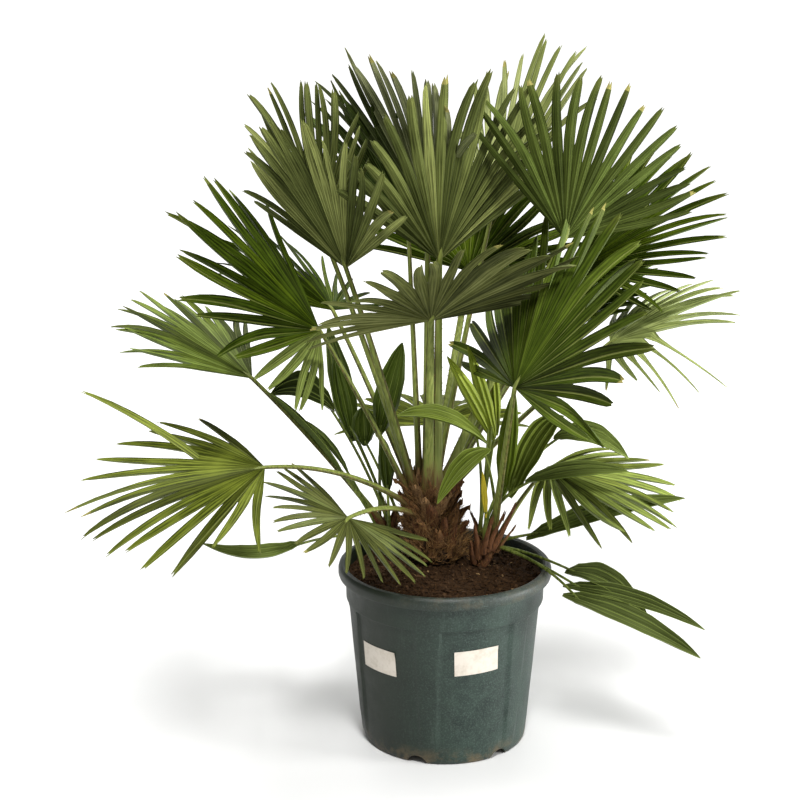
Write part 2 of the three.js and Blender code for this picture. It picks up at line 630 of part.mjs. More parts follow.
function youngBlade(leaf, width, from = 0) {
  const foot = point(leaf.foot);
  const tip = point(leaf.tip);
  const along = tip.clone().sub(foot);
  const thick = Math.max(YOUNG_LEAST_THICKNESS, along.length() * YOUNG_THICKNESS) / 2;
  const level = new THREE.Vector3().crossVectors(along, UP);
  const seen = Math.abs(along.z) > 0.8 * along.length() ? new THREE.Vector3(1, 0, 0) : level;
  const upper = new THREE.Vector3().crossVectors(seen, along).normalize();
  if (upper.z < 0) upper.negate();
  upper.applyAxisAngle(along.clone().normalize(), radians(leaf.tilt) * Math.sign(along.x || 1));
  const across = new THREE.Vector3().crossVectors(along, upper).normalize();
  const top = [];
  const bottom = [];
  YOUNG_STATIONS.forEach((station, i) => {
    const centre = foot.clone().lerp(tip, station)
      .addScaledVector(UP, 4 * leaf.arch * station * (1 - station));
    const half = (width / 2) * YOUNG_SWELL[i];
    for (const side of [-1, 0, 1]) {
      const rib = centre.clone().addScaledVector(across, side * half)
        .addScaledVector(upper, Math.abs(side) * half * YOUNG_FOLD);
      top.push(rib.clone().addScaledVector(upper, thick));
      bottom.push(rib.clone().addScaledVector(upper, -thick));
    }
  });
  const rows = YOUNG_STATIONS.length;
  const count = top.length;
  const triangles = [];
  const quad = (a, b, c, d) => triangles.push(a, b, c, a, c, d);
  for (let row = from; row < rows - 1; row += 1) {
    for (let side = 0; side < 2; side += 1) {
      const a = row * 3 + side;
      quad(a, a + 1, a + 4, a + 3);
      quad(count + a, count + a + 3, count + a + 4, count + a + 1);
    }
    const left = row * 3;
    const right = left + 2;
    quad(left, left + 3, count + left + 3, count + left);
    quad(right, count + right, count + right + 3, right + 3);
  }
  const first = from * 3;
  const last = (rows - 1) * 3;
  for (const side of [0, 1]) {
    quad(first + side, count + first + side, count + first + side + 1, first + side + 1);
    quad(last + side, last + side + 1, count + last + side + 1, count + last + side);
  }
  const solid = solidFrom(geometryFrom([...top, ...bottom], triangles));
  if (solid.volume() > 0) return solid;
  const flipped = triangles.slice();
  for (let i = 0; i < flipped.length; i += 3) {
    [flipped[i + 1], flipped[i + 2]] = [flipped[i + 2], flipped[i + 1]];
  }
  return solidFrom(geometryFrom([...top, ...bottom], flipped));
}

function youngStalk(leaf, seat, bow) {
  const foot = point(leaf.foot);
  const inside = foot.clone().lerp(point(leaf.tip), 0.1)
    .addScaledVector(UP, 0.36 * leaf.arch);
  const bend = seat.clone().lerp(foot, 0.5).addScaledVector(UP, 0.12 * seat.distanceTo(foot)).add(bow);
  const curve = new THREE.QuadraticBezierCurve3(seat, bend, inside);
  const radiusAt = (t) => THREE.MathUtils.lerp(YOUNG_STALK, YOUNG_STALK * 0.7, t);
  return limbSolid(curve, radiusAt, STALK_SIDES, STALK_STEPS, 1, STALK_SIDEWAYS);
}

// Where the leaves of a group leave their shoot: the middle of a sheath at the shoot's skin,
// and the knot at the sheath's end where the stalks part.
function youngSeats(name) {
  const [foot, head, footRadius, headRadius] = SHOOTS[name];
  const seats = [];
  for (const share of [0.95, 0.8, 0.64, 0.48, 0.32]) {
    const radius = THREE.MathUtils.lerp(footRadius, headRadius, share);
    for (let turn = 0; turn < 360; turn += 30) {
      const outward = new THREE.Vector3(Math.cos(radians(turn)), Math.sin(radians(turn)), 0);
      const axis = point(foot).lerp(point(head), share);
      const seat = axis.clone().addScaledVector(outward, radius * 0.5);
      const knot = axis.clone().addScaledVector(outward, radius + SHEATH_LENGTH)
        .addScaledVector(UP, SHEATH_LENGTH);
      seats.push({ seat, knot });
    }
  }
  return seats;
}

function sheathSolid({ seat, knot }) {
  const line = new THREE.LineCurve3(seat, knot);
  return limbSolid(line, () => SHEATH_RADIUS, SHEATH_SIDES, 1, 1, STALK_SIDEWAYS);
}

// One leaf with its stalk from a seat: moved in depth or narrowed, and its stalk bowed
// aside, until it stands clear of what is in place.
function clearYoungLeaf(leaf, base, sheath) {
  const start = base.knot.clone().lerp(base.seat, 0.2);
  for (const narrow of [1, 0.75]) {
    for (const depth of DEPTHS) {
      const moved = { ...leaf, foot: [leaf.foot[0], leaf.foot[1] + depth, leaf.foot[2]],
        tip: [leaf.tip[0], leaf.tip[1] + depth, leaf.tip[2]] };
      const blade = youngBlade(moved, leaf.width * narrow);
      if (!isClear(blade)) continue;
      for (const bow of BOWS) {
        const solid = sheath.add(youngStalk(moved, start, point(bow)).add(blade));
        if (isClear(solid)) return solid;
      }
    }
  }
  return null;
}

function placeYoung(name, cluster, sockets) {
  const centre = new THREE.Vector3();
  cluster.leaves.forEach((leaf) => centre.add(point(leaf.foot)));
  centre.divideScalar(cluster.leaves.length);
  const reach = (base) => base.knot.distanceTo(centre);
  const bases = youngSeats(cluster.from).sort((a, b) => reach(a) - reach(b));
  let best = [];
  for (const base of bases) {
    const trimmed = sheathSolid(base).subtract(sockets[cluster.from]);
    if (trimmed.isEmpty()) continue;
    const sheath = trimmed.decompose().reduce((a, b) => (a.volume() > b.volume() ? a : b));
    if (!isClear(sheath)) continue;
    const leaves = [];
    for (const leaf of cluster.leaves) {
      const solid = clearYoungLeaf(leaf, base, sheath);
      if (solid) leaves.push(solid);
    }
    if (leaves.length > best.length) best = leaves;
    if (best.length === cluster.leaves.length) break;
  }
  addPart(name, best.reduce((a, b) => a.add(b)), leafGreen.fresh());
}

// Assembly

addPart('pot', potSolid(), potPlastic());
addPart('compost', soilSolid(), compost());
const sockets = { stem: stemCore(SOCKET_GAP) };
for (const [name, shoot] of Object.entries(SHOOTS)) {
  addPart(name, shootSolid(shoot, 0), stemFibre());
  sockets[name] = shootSolid(shoot, SOCKET_GAP);
}
// The bare stem holds its place until the petioles are in, and then gets its boots.
placed.push({ name: 'stem', solid: stemCore(0), box: stemCore(0).boundingBox() });
for (const [name, fan] of Object.entries(FANS)) {
  placePetiole(name.replace('fan', 'petiole'), fan, sockets[fan.from ?? 'stem']);
}
const booted = stemSolid();
placed.splice(placed.findIndex((part) => part.name === 'stem'), 1);
addPart('stem', booted, stemFibre());
for (const [name, cluster] of Object.entries(YOUNG)) {
  placeYoung(name, cluster, sockets);
}
for (const [name, fan] of Object.entries(FANS)) {
  const states = fanStates(fan);
  addPart(name, bladeSolid(fan, states, 0, fan.leaflets - 1), leafGreen[fan.green]());
}

// The origin is moved under the middle of the whole plant, which leans over its pot.
const middle = new THREE.Box3().setFromObject(model).getCenter(new THREE.Vector3());
model.position.set(-middle.x, -middle.y, 0);

export default model;
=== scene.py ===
import random
from math import atan2, cos, hypot, pi, radians, sin, sqrt, tan

import bpy
from mathutils import Matrix, Quaternion, Vector, noise


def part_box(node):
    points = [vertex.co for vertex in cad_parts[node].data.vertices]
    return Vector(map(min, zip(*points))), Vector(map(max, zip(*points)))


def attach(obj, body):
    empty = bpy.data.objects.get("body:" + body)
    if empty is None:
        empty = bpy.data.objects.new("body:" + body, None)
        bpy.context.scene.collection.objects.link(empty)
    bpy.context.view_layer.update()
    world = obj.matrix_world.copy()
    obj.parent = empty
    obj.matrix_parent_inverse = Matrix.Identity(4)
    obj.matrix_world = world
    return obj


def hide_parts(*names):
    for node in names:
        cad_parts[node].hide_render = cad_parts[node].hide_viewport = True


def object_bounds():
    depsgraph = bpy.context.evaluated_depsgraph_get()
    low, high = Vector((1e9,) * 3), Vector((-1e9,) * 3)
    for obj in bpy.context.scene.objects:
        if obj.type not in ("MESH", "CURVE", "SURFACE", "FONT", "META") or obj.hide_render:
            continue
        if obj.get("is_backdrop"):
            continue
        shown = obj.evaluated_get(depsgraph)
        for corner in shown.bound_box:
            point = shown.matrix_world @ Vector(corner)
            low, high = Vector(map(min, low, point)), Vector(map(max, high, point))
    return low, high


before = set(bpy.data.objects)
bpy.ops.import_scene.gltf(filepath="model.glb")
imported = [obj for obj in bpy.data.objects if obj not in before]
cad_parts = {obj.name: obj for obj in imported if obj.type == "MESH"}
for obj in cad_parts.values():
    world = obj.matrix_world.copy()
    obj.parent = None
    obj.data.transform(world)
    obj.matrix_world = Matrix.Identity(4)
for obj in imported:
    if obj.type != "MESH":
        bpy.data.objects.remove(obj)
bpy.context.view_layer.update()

# The studio: a camera three metres off, looking down fifteen degrees, a wide plain pale floor,
# and soft light from above and both sides. None of it is part of the plant. All places are
# measured from the plant's own zero on the ground, which lies a little to the left of the pot's axis.
POT_ASIDE = 0.003
CAMERA_PLACE = Vector((-0.077, -2.970, 1.422))
CAMERA_TILT = radians(74.95)
pot_low, pot_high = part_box("pot")
ground = Vector(((pot_low.x + pot_high.x) / 2 - POT_ASIDE, (pot_low.y + pot_high.y) / 2, 0.0))


def linear(code):
    parts = [int(code[i:i + 2], 16) / 255 for i in (1, 3, 5)]
    return tuple(c / 12.92 if c <= 0.04045 else ((c + 0.055) / 1.055) ** 2.4 for c in parts) + (1.0,)


def link_up(node, links):
    # A link that names a node comes from that node's first output.
    for key, source in links.items():
        node.id_data.links.new(getattr(source, "outputs", [source])[0], node.inputs[key])


def add_node(tree, kind, settings=None, links=None):
    # A number among the settings or links is the number of an input: 1 to 4 are the ends that a
    # range runs from and to, and 6 and 7 are the two colours of a mix.
    made = tree.nodes.new("ShaderNode" + kind)
    for key, value in (settings or {}).items():
        if isinstance(key, int) or key in made.inputs:
            made.inputs[key].default_value = value
        else:
            setattr(made, key, value)
    link_up(made, links or {})
    return made


def new_material(name, rough, specular):
    made = bpy.data.materials.new(name)
    made.use_nodes = True
    shader = made.node_tree.nodes["Principled BSDF"]
    shader.inputs["Roughness"].default_value = rough
    shader.inputs["Specular IOR Level"].default_value = specular
    return made, made.node_tree, shader, add_node(made.node_tree, "TexCoord").outputs["Object"]


bpy.ops.object.select_all(action="DESELECT")
bpy.ops.object.camera_add(location=ground + CAMERA_PLACE, rotation=(CAMERA_TILT, 0, 0))
camera = bpy.context.object
camera.name = "camera"
camera.data.lens = 79.5
camera.data.sensor_width = 36.0
bpy.context.scene.camera = camera
bpy.context.scene.view_settings.view_transform = "Standard"

bpy.ops.mesh.primitive_plane_add(size=160)
floor = bpy.context.object
floor.name = "studio_floor"
# Matt white paint that glows a little where the lamps no longer reach, so that the floor stays
# pale out to the horizon. It takes only a faint soft shadow round the pot.
floor_paint, tree, shader, place = new_material("studio_white_paint", 0.95, 0.0)
shader.inputs["Base Color"].default_value = linear("#DCDCDB")
shader.inputs["Emission Color"].default_value = linear("#FFFFFF")
away = add_node(tree, "VectorMath", {"operation": "LENGTH"}, {0: place})
glow = add_node(tree, "MapRange", {1: 0.2, 2: 4.0, 4: 0.95}, {0: away.outputs["Value"]})
link_up(shader, {"Emission Strength": glow})
floor.data.materials.append(floor_paint)
floor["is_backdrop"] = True

world = bpy.data.worlds.new("studio")
bpy.context.scene.world = world
world.use_nodes = True
world.node_tree.nodes["Background"].inputs["Color"].default_value = (1.0, 1.0, 1.0, 1.0)
world.node_tree.nodes["Background"].inputs["Strength"].default_value = 0.30
for name, place, aim, size, power in [
    ("key_light", (0.25, -2.3, 3.6), (0, 0, 0.7), 0.8, 150),
    ("side_light", (2.8, -0.7, 0.6), (0, 0, 0.1), 0.9, 106),
    ("top_light", (-0.9, 0.3, 3.6), (0, 0, 0.6), 1.2, 78),
    ("back_light", (0.0, 2.2, 2.6), (0, 0.2, 0.6), 2.0, 45),
]:
    bpy.ops.object.light_add(type="AREA", location=ground + Vector(place))
    lamp = bpy.context.object
    lamp.name = name
    lamp.data.size = size
    lamp.data.energy = power
    lamp.rotation_euler = (Vector(aim) - Vector(place)).to_track_quat("-Z", "Y").to_euler()


# Nursery pot: a thin-walled 30 litre pot of injection-moulded polypropylene, with a turned-out
# rim, a straight band below it, six shallow tapered ribs and arches in the foot ring.
POT_TURNS = 240
POT_PROFILE_MM = [
    (0, 16), (60, 16), (131, 16), (134, 13), (135.5, 0), (142.5, 0), (145.5, 2), (147.6, 6), (149, 14),
    (150.6, 30), (153, 60), (156, 95), (160, 140), (164, 190), (167.5, 232), (169.6, 254), (171, 259),
    (175, 261), (176.2, 264), (177, 300), (177.8, 303), (185, 303.5), (188.6, 305), (190, 309), (190, 317),
    (188.6, 322), (185, 325.4), (179, 326), (175.6, 324), (173.8, 319), (173.2, 304), (170.5, 262),
    (166.3, 255), (160, 180), (152, 90), (146, 20), (60, 20), (0, 20),
]
RIBS = 6
RIB_TURN = radians(-41.5)
RIB_RISE = 0.0036
RIB_LOW, RIB_TOP, RIB_LENGTH = 0.02, 0.2605, 0.24
RIB_HALF_LOW, RIB_HALF_MORE, RIB_EDGE = 5.5, 3.0, radians(0.9)
# Only the outer wall stands outside a cone of this radius at the ribs' foot and of this slope.
WALL_LOW, WALL_SLOPE = 0.1478, 0.08
ARCH_RADIUS, ARCH_LENGTH, ARCH_RING = 0.019, 0.034, 0.143
ARCH_TURNS = [radians(-110 + 60 * k) for k in range(6)]


def select_only(thing):
    bpy.ops.object.select_all(action="DESELECT")
    thing.select_set(True)
    bpy.context.view_layer.objects.active = thing


def new_piece(name, points, faces, materials, slots=None):
    mesh = bpy.data.meshes.new(name)
    mesh.from_pydata([tuple(p) for p in points], [], faces)
    thing = bpy.data.objects.new(name, mesh)
    bpy.context.scene.collection.objects.link(thing)
    for material in materials:
        mesh.materials.append(material)
    if slots:
        mesh.polygons.foreach_set("material_index", slots)
    mesh.update()
    select_only(thing)
    return thing


def apply_modifier(thing, kind, **settings):
    select_only(thing)
    modifier = thing.modifiers.new(kind.title(), kind)
    for key, value in settings.items():
        setattr(modifier, key, value)
    bpy.ops.object.modifier_apply(modifier=modifier.name)


axis = Vector((ground.x + POT_ASIDE, ground.y, 0.0))
pot = new_piece("nursery_pot", [(r / 1000, 0, z / 1000) for r, z in POT_PROFILE_MM], [], [])
pot.data.edges.add(len(POT_PROFILE_MM) - 1)
for i, edge in enumerate(pot.data.edges):
    edge.vertices = (i, i + 1)
pot.data.update()
bpy.ops.object.mode_set(mode="EDIT")
bpy.ops.mesh.select_all(action="SELECT")
bpy.ops.mesh.spin(steps=POT_TURNS, angle=2 * pi, center=(0, 0, 0), axis=(0, 0, 1), use_auto_merge=True)
bpy.ops.mesh.select_all(action="SELECT")
bpy.ops.mesh.remove_doubles(threshold=1e-5)
bpy.ops.mesh.normals_make_consistent(inside=False)
bpy.ops.object.mode_set(mode="OBJECT")
# The ribs stand out a little from the body and narrow towards the foot.
for vertex in pot.data.vertices:
    x, y, z = vertex.co
    radius = hypot(x, y)
    above = z - RIB_LOW
    if RIB_LOW < z < RIB_TOP and radius > WALL_LOW + above * WALL_SLOPE:
        off = (atan2(y, x) - RIB_TURN + pi / RIBS) % (2 * pi / RIBS) - pi / RIBS
        half = radians(RIB_HALF_LOW + RIB_HALF_MORE * above / RIB_LENGTH)
        rise = min(1.0, max(0.0, (half - abs(off)) / RIB_EDGE)) * min(1.0, above * 60)
        grow = 1 + RIB_RISE * rise / radius
        vertex.co = (x * grow, y * grow, z)
arches = []
for turn in ARCH_TURNS:
    middle = (ARCH_RING * cos(turn), ARCH_RING * sin(turn), -0.004)
    bpy.ops.mesh.primitive_cylinder_add(vertices=48, radius=ARCH_RADIUS, depth=ARCH_LENGTH, location=middle,
                                        rotation=(0, pi / 2, turn))
    arches.append(bpy.context.object)
select_only(arches[0])
for arch in arches:
    arch.select_set(True)
bpy.ops.object.join()
apply_modifier(pot, "BOOLEAN", operation="DIFFERENCE", object=arches[0], solver="EXACT")
bpy.data.objects.remove(arches[0])
pot.data.transform(Matrix.Translation(axis))
apply_modifier(pot, "BEVEL", width=0.0006, segments=2, limit_method="ANGLE", angle_limit=radians(40))
bpy.ops.object.shade_smooth_by_angle(angle=radians(35))

# Injection-moulded polypropylene, dyed dark green: a dull sheen, a faint sanded grain, long
# pale scuffs, a greyed rim, and dried soil left in patches round the foot.
pot_plastic, tree, shader, place = new_material("moulded_green_polypropylene", 0.46, 0.36)
parts = add_node(tree, "SeparateXYZ", {}, {0: place})
clouds = add_node(tree, "TexNoise", {"Scale": 14.0, "Detail": 10.0, "Roughness": 0.75}, {"Vector": place})
blend = add_node(tree, "MapRange", {1: 0.38, 2: 0.62}, {0: clouds})
tone = add_node(tree, "Mix", {"data_type": "RGBA", 6: linear("#11201B"), 7: linear("#293931")}, {0: blend})
# The rim is greyed by dust, with brown splashes of soil.
rim_grey = add_node(tree, "MapRange", {1: 0.298, 2: 0.312, 4: 0.75}, {0: parts.outputs["Z"]})
splash = add_node(tree, "TexNoise", {"Scale": 28.0, "Detail": 9.0, "Roughness": 0.8}, {"Vector": place})
splashed = add_node(tree, "MapRange", {1: 0.47, 2: 0.62, 4: 0.9}, {0: splash})
rim_tone = add_node(tree, "Mix", {"data_type": "RGBA", 6: linear("#252B26"), 7: linear("#4C4434")},
                    {0: splashed})
greyed = add_node(tree, "Mix", {"data_type": "RGBA"},
                  {0: rim_grey, 6: tone.outputs[2], 7: rim_tone.outputs[2]})
grain = add_node(tree, "TexNoise", {"Scale": 340.0, "Detail": 5.0, "Roughness": 0.8}, {"Vector": place})
speckle = add_node(tree, "MapRange", {1: 0.5, 2: 0.66, 4: 0.7}, {0: grain})
speckled = add_node(tree, "Mix", {"data_type": "RGBA", 7: linear("#4A5851")},
                    {0: speckle, 6: greyed.outputs[2]})
stretch = add_node(tree, "Mapping", {"Scale": (1.0, 1.0, 0.08)}, {"Vector": place})
scuffs = add_node(tree, "TexNoise", {"Scale": 120.0, "Detail": 9.0, "Roughness": 0.8}, {"Vector": stretch})
scuffed = add_node(tree, "MapRange", {1: 0.56, 2: 0.78, 4: 0.5}, {0: scuffs})
marked = add_node(tree, "Mix", {"data_type": "RGBA", 7: linear("#5E6B63")},
                  {0: scuffed, 6: speckled.outputs[2]})
# The foot is stained by splashed soil, and the left side is painted darker as shade.
painted_shade_side = add_node(tree, "MapRange", {1: axis.x + 0.03, 2: axis.x - 0.12, 4: 0.92},
                    {0: parts.outputs["X"]})
darkened = add_node(tree, "Mix", {"data_type": "RGBA", 7: linear("#101A0C")},
                  {0: painted_shade_side, 6: marked.outputs[2]})
foot_dirt = add_node(tree, "MapRange", {1: 0.036, 2: 0.005}, {0: parts.outputs["Z"]})
specks = add_node(tree, "TexNoise", {"Scale": 22.0, "Detail": 9.0, "Roughness": 0.72}, {"Vector": place})
patchy = add_node(tree, "MapRange", {1: 0.46, 2: 0.6, 4: 0.8}, {0: specks})
dust = add_node(tree, "Math", {"operation": "MULTIPLY"}, {0: foot_dirt, 1: patchy})
dusty = add_node(tree, "Mix", {"data_type": "RGBA", 7: linear("#67583E")}, {0: dust, 6: darkened.outputs[2]})
dull = add_node(tree, "MapRange", {1: 0.3, 2: 0.7, 3: 0.4, 4: 0.62}, {0: clouds})
bump = add_node(tree, "Bump", {"Strength": 0.5, "Distance": 0.0006}, {"Height": grain})
link_up(shader, {"Base Color": dusty.outputs[2], "Roughness": dull, "Normal": bump})
pot.data.materials.append(pot_plastic)
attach(pot, "root")
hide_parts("pot")


# Two blank stick-on labels, 80 by 46 mm: pale coated paper, pressed on the pot's body by hand,
# with one corner of each lifting a little.
# Each has its turn round the pot, height, width, length and tilt, in degrees and millimetres.
LABELS = [("label_left", -136, 186, 79, 46, 0.5), ("label_right", -71.5, 200, 80, 46, 2.5)]
LABEL_COLUMNS, LABEL_ROWS = 24, 12
# The pot's body: its radius low down and just below the band, each at its height.
BODY_LOW, BODY_LOW_Z, BODY_TOP, BODY_TOP_Z = 0.1506, 0.03, 0.1696, 0.254
label_paper, tree, shader, place = new_material("blank_sticker_paper", 0.5, 0.4)
smear = add_node(tree, "TexNoise", {"Scale": 45.0, "Detail": 8.0, "Roughness": 0.75}, {"Vector": place})
darkened = add_node(tree, "MapRange", {1: 0.46, 2: 0.74, 4: 0.7}, {0: smear})
paper = add_node(tree, "Mix", {"data_type": "RGBA", 6: linear("#C9C1B5"), 7: linear("#A09482")},
                 {0: darkened})
link_up(shader, {"Base Color": paper.outputs[2]})


def grid_faces(first, rows, columns):
    # The faces of a grid of points that are added row by row, from the point numbered first.
    faces = []
    for i in range(rows):
        for j in range(columns):
            a = first + i * (columns + 1) + j
            faces.append((a, a + columns + 1, a + columns + 2, a + 1))
    return faces


for name, turn, height, wide, tall, tilt in LABELS:
    points = []
    for i in range(LABEL_COLUMNS + 1):
        for j in range(LABEL_ROWS + 1):
            across = (i / LABEL_COLUMNS - 0.5) * wide / 1000
            up = (j / LABEL_ROWS - 0.5) * tall / 1000
            tip = radians(tilt)
            side = across * cos(tip) - up * sin(tip)
            z = height / 1000 + across * sin(tip) + up * cos(tip)
            body = BODY_LOW + (z - BODY_LOW_Z) * (BODY_TOP - BODY_LOW) / (BODY_TOP_Z - BODY_LOW_Z)
            lift = 0.0005 + 0.0014 * max(0.0, i / LABEL_COLUMNS + j / LABEL_ROWS - 1.75) * 4
            angle = radians(turn) + side / body
            radius = body + lift
            points.append(axis + Vector((radius * cos(angle), radius * sin(angle), z)))
    label = new_piece(name, points, grid_faces(0, LABEL_COLUMNS, LABEL_ROWS), [label_paper])
    apply_modifier(label, "SOLIDIFY", thickness=0.0003, offset=1.0)
    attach(label, "root")


# Potting compost: dark moist peat and bark, heaped a little towards the stem, with crumbs,
# bark chips and a few pale specks lying loose on it.
SOIL_RADIUS = 0.1722
SOIL_RINGS = 72
SOIL_SPOKES = 170
SOIL_LEVEL, SOIL_HEAP = 0.3055, 0.008
SOIL_FOOT_RADIUS, SOIL_FOOT_LEVEL = 0.169, 0.27
CRUMBS = 3000
CRUMB_REACH = 0.168
# Shares of peat crumbs, bark chips and pale specks.
CRUMB_KINDS = [80, 17, 3]
dice = random.Random(11)


def soil_height(x, y):
    reach = hypot(x, y)
    rough = noise.fractal(Vector((x * 38, y * 38, 3.1)), 0.7, 2.2, 5) * 0.0042
    fade = min(1.0, (SOIL_RADIUS - reach) * 60)
    return SOIL_LEVEL + SOIL_HEAP * (1 - (reach / 0.17) ** 2) + rough * max(fade, 0.15) - 0.0012


points = [axis + Vector((0, 0, soil_height(0, 0)))]
faces = []
for ring in range(1, SOIL_RINGS + 1):
    for spoke in range(SOIL_SPOKES):
        reach, angle = SOIL_RADIUS * ring / SOIL_RINGS, 2 * pi * spoke / SOIL_SPOKES
        x, y = reach * cos(angle), reach * sin(angle)
        points.append(axis + Vector((x, y, soil_height(x, y))))
for spoke in range(SOIL_SPOKES):
    after = (spoke + 1) % SOIL_SPOKES
    faces.append((0, 1 + spoke, 1 + after))
    for ring in range(SOIL_RINGS - 1):
        a, b = 1 + ring * SOIL_SPOKES + spoke, 1 + ring * SOIL_SPOKES + after
        faces.append((a, a + SOIL_SPOKES, b + SOIL_SPOKES, b))
under = len(points)
for spoke in range(SOIL_SPOKES):
    angle = 2 * pi * spoke / SOIL_SPOKES
    x, y = SOIL_FOOT_RADIUS * cos(angle), SOIL_FOOT_RADIUS * sin(angle)
    points.append(axis + Vector((x, y, SOIL_FOOT_LEVEL)))
rim = 1 + (SOIL_RINGS - 1) * SOIL_SPOKES
for spoke in range(SOIL_SPOKES):
    after = (spoke + 1) % SOIL_SPOKES
    faces.append((rim + spoke, under + spoke, under + after, rim + after))
faces.append(tuple(under + SOIL_SPOKES - 1 - i for i in range(SOIL_SPOKES)))

# Peat and composted bark: matt and nearly black where moist, browner on the dry crumbs.
peat, tree, shader, place = new_material("moist_peat_and_bark", 0.95, 0.15)
mottle = add_node(tree, "TexNoise", {"Scale": 190.0, "Detail": 9.0, "Roughness": 0.8}, {"Vector": place})
shade = add_node(tree, "ValToRGB", {}, {0: mottle})
shade.color_ramp.elements[0].position = 0.38
shade.color_ramp.elements[0].color = linear("#150C05")
shade.color_ramp.elements[1].position = 0.66
shade.color_ramp.elements[1].color = linear("#422C16")
bump = add_node(tree, "Bump", {"Strength": 0.9, "Distance": 0.0014}, {"Height": mottle})
link_up(shader, {"Base Color": shade, "Normal": bump})


def crumb_material(name, dark, light, rough):
    # Chipped bark or wood: matt, and mottled by its broken grain.
    made, tree, shader, place = new_material(name, rough, 0.2)
    vary = add_node(tree, "TexNoise", {"Scale": 300.0, "Detail": 3.0}, {"Vector": place})
    tone = add_node(tree, "Mix", {"data_type": "RGBA", 6: linear(dark), 7: linear(light)}, {0: vary})
    link_up(shader, {"Base Color": tone.outputs[2]})
    return made


bark_crumb = crumb_material("dry_bark_crumb", "#2E1D10", "#4E3820", 0.9)
pale_chip = crumb_material("pale_wood_chip", "#7A5E3C", "#A88A60", 0.85)

slots = [0] * len(faces)
BLOCK = [(-1, -1, -1), (1, -1, -1), (1, 1, -1), (-1, 1, -1), (-1, -1, 1), (1, -1, 1), (1, 1, 1), (-1, 1, 1)]
BLOCK_FACES = [(0, 3, 2, 1), (4, 5, 6, 7), (0, 1, 5, 4), (1, 2, 6, 5), (2, 3, 7, 6), (3, 0, 4, 7)]
for _ in range(CRUMBS):
    reach = CRUMB_REACH * sqrt(dice.random())
    angle = dice.uniform(0, 2 * pi)
    x, y = reach * cos(angle), reach * sin(angle)
    spin = Vector((dice.gauss(0, 1), dice.gauss(0, 1), dice.gauss(0, 1))).normalized()
    turn = Quaternion(spin, dice.uniform(0, 3))
    kind = dice.choices([0, 1, 2], CRUMB_KINDS)[0]
    size = 0.0006 + 0.0026 * dice.random() ** 2.5 * (0.5 if kind == 2 else 1.0)
    form = (size * dice.uniform(0.8, 2.6), size, size * dice.uniform(0.4, 0.9))
    start = len(points)
    for corner in BLOCK:
        wobble = [c * f * dice.uniform(0.6, 1.1) for c, f in zip(corner, form)]
        points.append(axis + Vector((x, y, soil_height(x, y) + size * 0.4)) + turn @ Vector(wobble))
    for face in BLOCK_FACES:
        faces.append(tuple(start + v for v in face))
        slots.append(kind)
compost = new_piece("potting_compost", points, faces, [peat, bark_crumb, pale_chip], slots)
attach(compost, "root")
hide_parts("compost")


# Stem: a short stout palm stem, wrapped in the brown bases of leaves that were cut away. Each
# old base is a stiff curved scale, and coarse fibre from the leaf sheaths stands between them.
STEM_FOOT = Vector((-0.010, 0.045, 0.3146))
STEM_HEAD = Vector((-0.032, 0.040, 0.464))
# The stem's radius, in mm, by the share of its height.
STEM_PROFILE = [(0, 44), (0.1, 53), (0.25, 57), (0.45, 51), (0.7, 42), (0.88, 36), (0.96, 25), (1.0, 4)]
OLD_BASE_ROWS, OLD_BASES_IN_ROW = 7, 9
NEWER_STRIPS = 16
STEM_FIBRES = 3600


def stem_radius(share):
    for (low, a), (high, b) in zip(STEM_PROFILE, STEM_PROFILE[1:]):
        if share <= high:
            return (a + (b - a) * (share - low) / (high - low)) / 1000
    return 0.004


def outwards(angle):
    return Vector((cos(angle), sin(angle), 0))


def on_stem(share, angle, radius):
    return ground + STEM_FOOT.lerp(STEM_HEAD, share) + outwards(angle) * radius


def add_tube(points, faces, path, radii, sides, flat=1.0, sideways=None):
    # A closed tube along a path, pointed or blunt at its ends by its radii. Gives its number of faces.
    start = len(points)
    steer = sideways or Vector((0.31, 0.9, 0.3))
    for i, spot in enumerate(path):
        along = (path[min(i + 1, len(path) - 1)] - path[max(i - 1, 0)]).normalized()
        across = along.cross(steer)
        across = across.normalized() if across.length > 1e-6 else along.orthogonal().normalized()
        through = across.cross(along).normalized()
        for k in range(sides):
            turn = 2 * pi * k / sides
            points.append(spot + across * radii[i] * cos(turn) + through * radii[i] * flat * sin(turn))
    for i in range(len(path) - 1):
        for k in range(sides):
            a, b = start + i * sides + k, start + i * sides + (k + 1) % sides
            faces.append((a, a + sides, b + sides, b))
    last = start + (len(path) - 1) * sides
    faces.append(tuple(start + k for k in range(sides)))
    faces.append(tuple(last + sides - 1 - k for k in range(sides)))
    return (len(path) - 1) * sides + 2


def fibre_material(name, dark, light, scale):
    # Dead palm sheath: woody, matt and streaked lengthwise by its fibres.
    made, tree, shader, place = new_material(name, 0.9, 0.2)
    strands = add_node(tree, "Mapping", {"Scale": (1.0, 1.0, 0.13)}, {"Vector": place})
    streaks = add_node(tree, "TexNoise", {"Scale": scale, "Detail": 8.0, "Roughness": 0.75},
                       {"Vector": strands})
    ramp = add_node(tree, "ValToRGB", {}, {0: streaks})
    ramp.color_ramp.elements[0].position = 0.36
    ramp.color_ramp.elements[0].color = linear(dark)
    ramp.color_ramp.elements[1].position = 0.66
    ramp.color_ramp.elements[1].color = linear(light)
    bump = add_node(tree, "Bump", {"Strength": 0.8, "Distance": 0.0014}, {"Height": streaks})
    link_up(shader, {"Base Color": ramp, "Normal": bump})
    return made


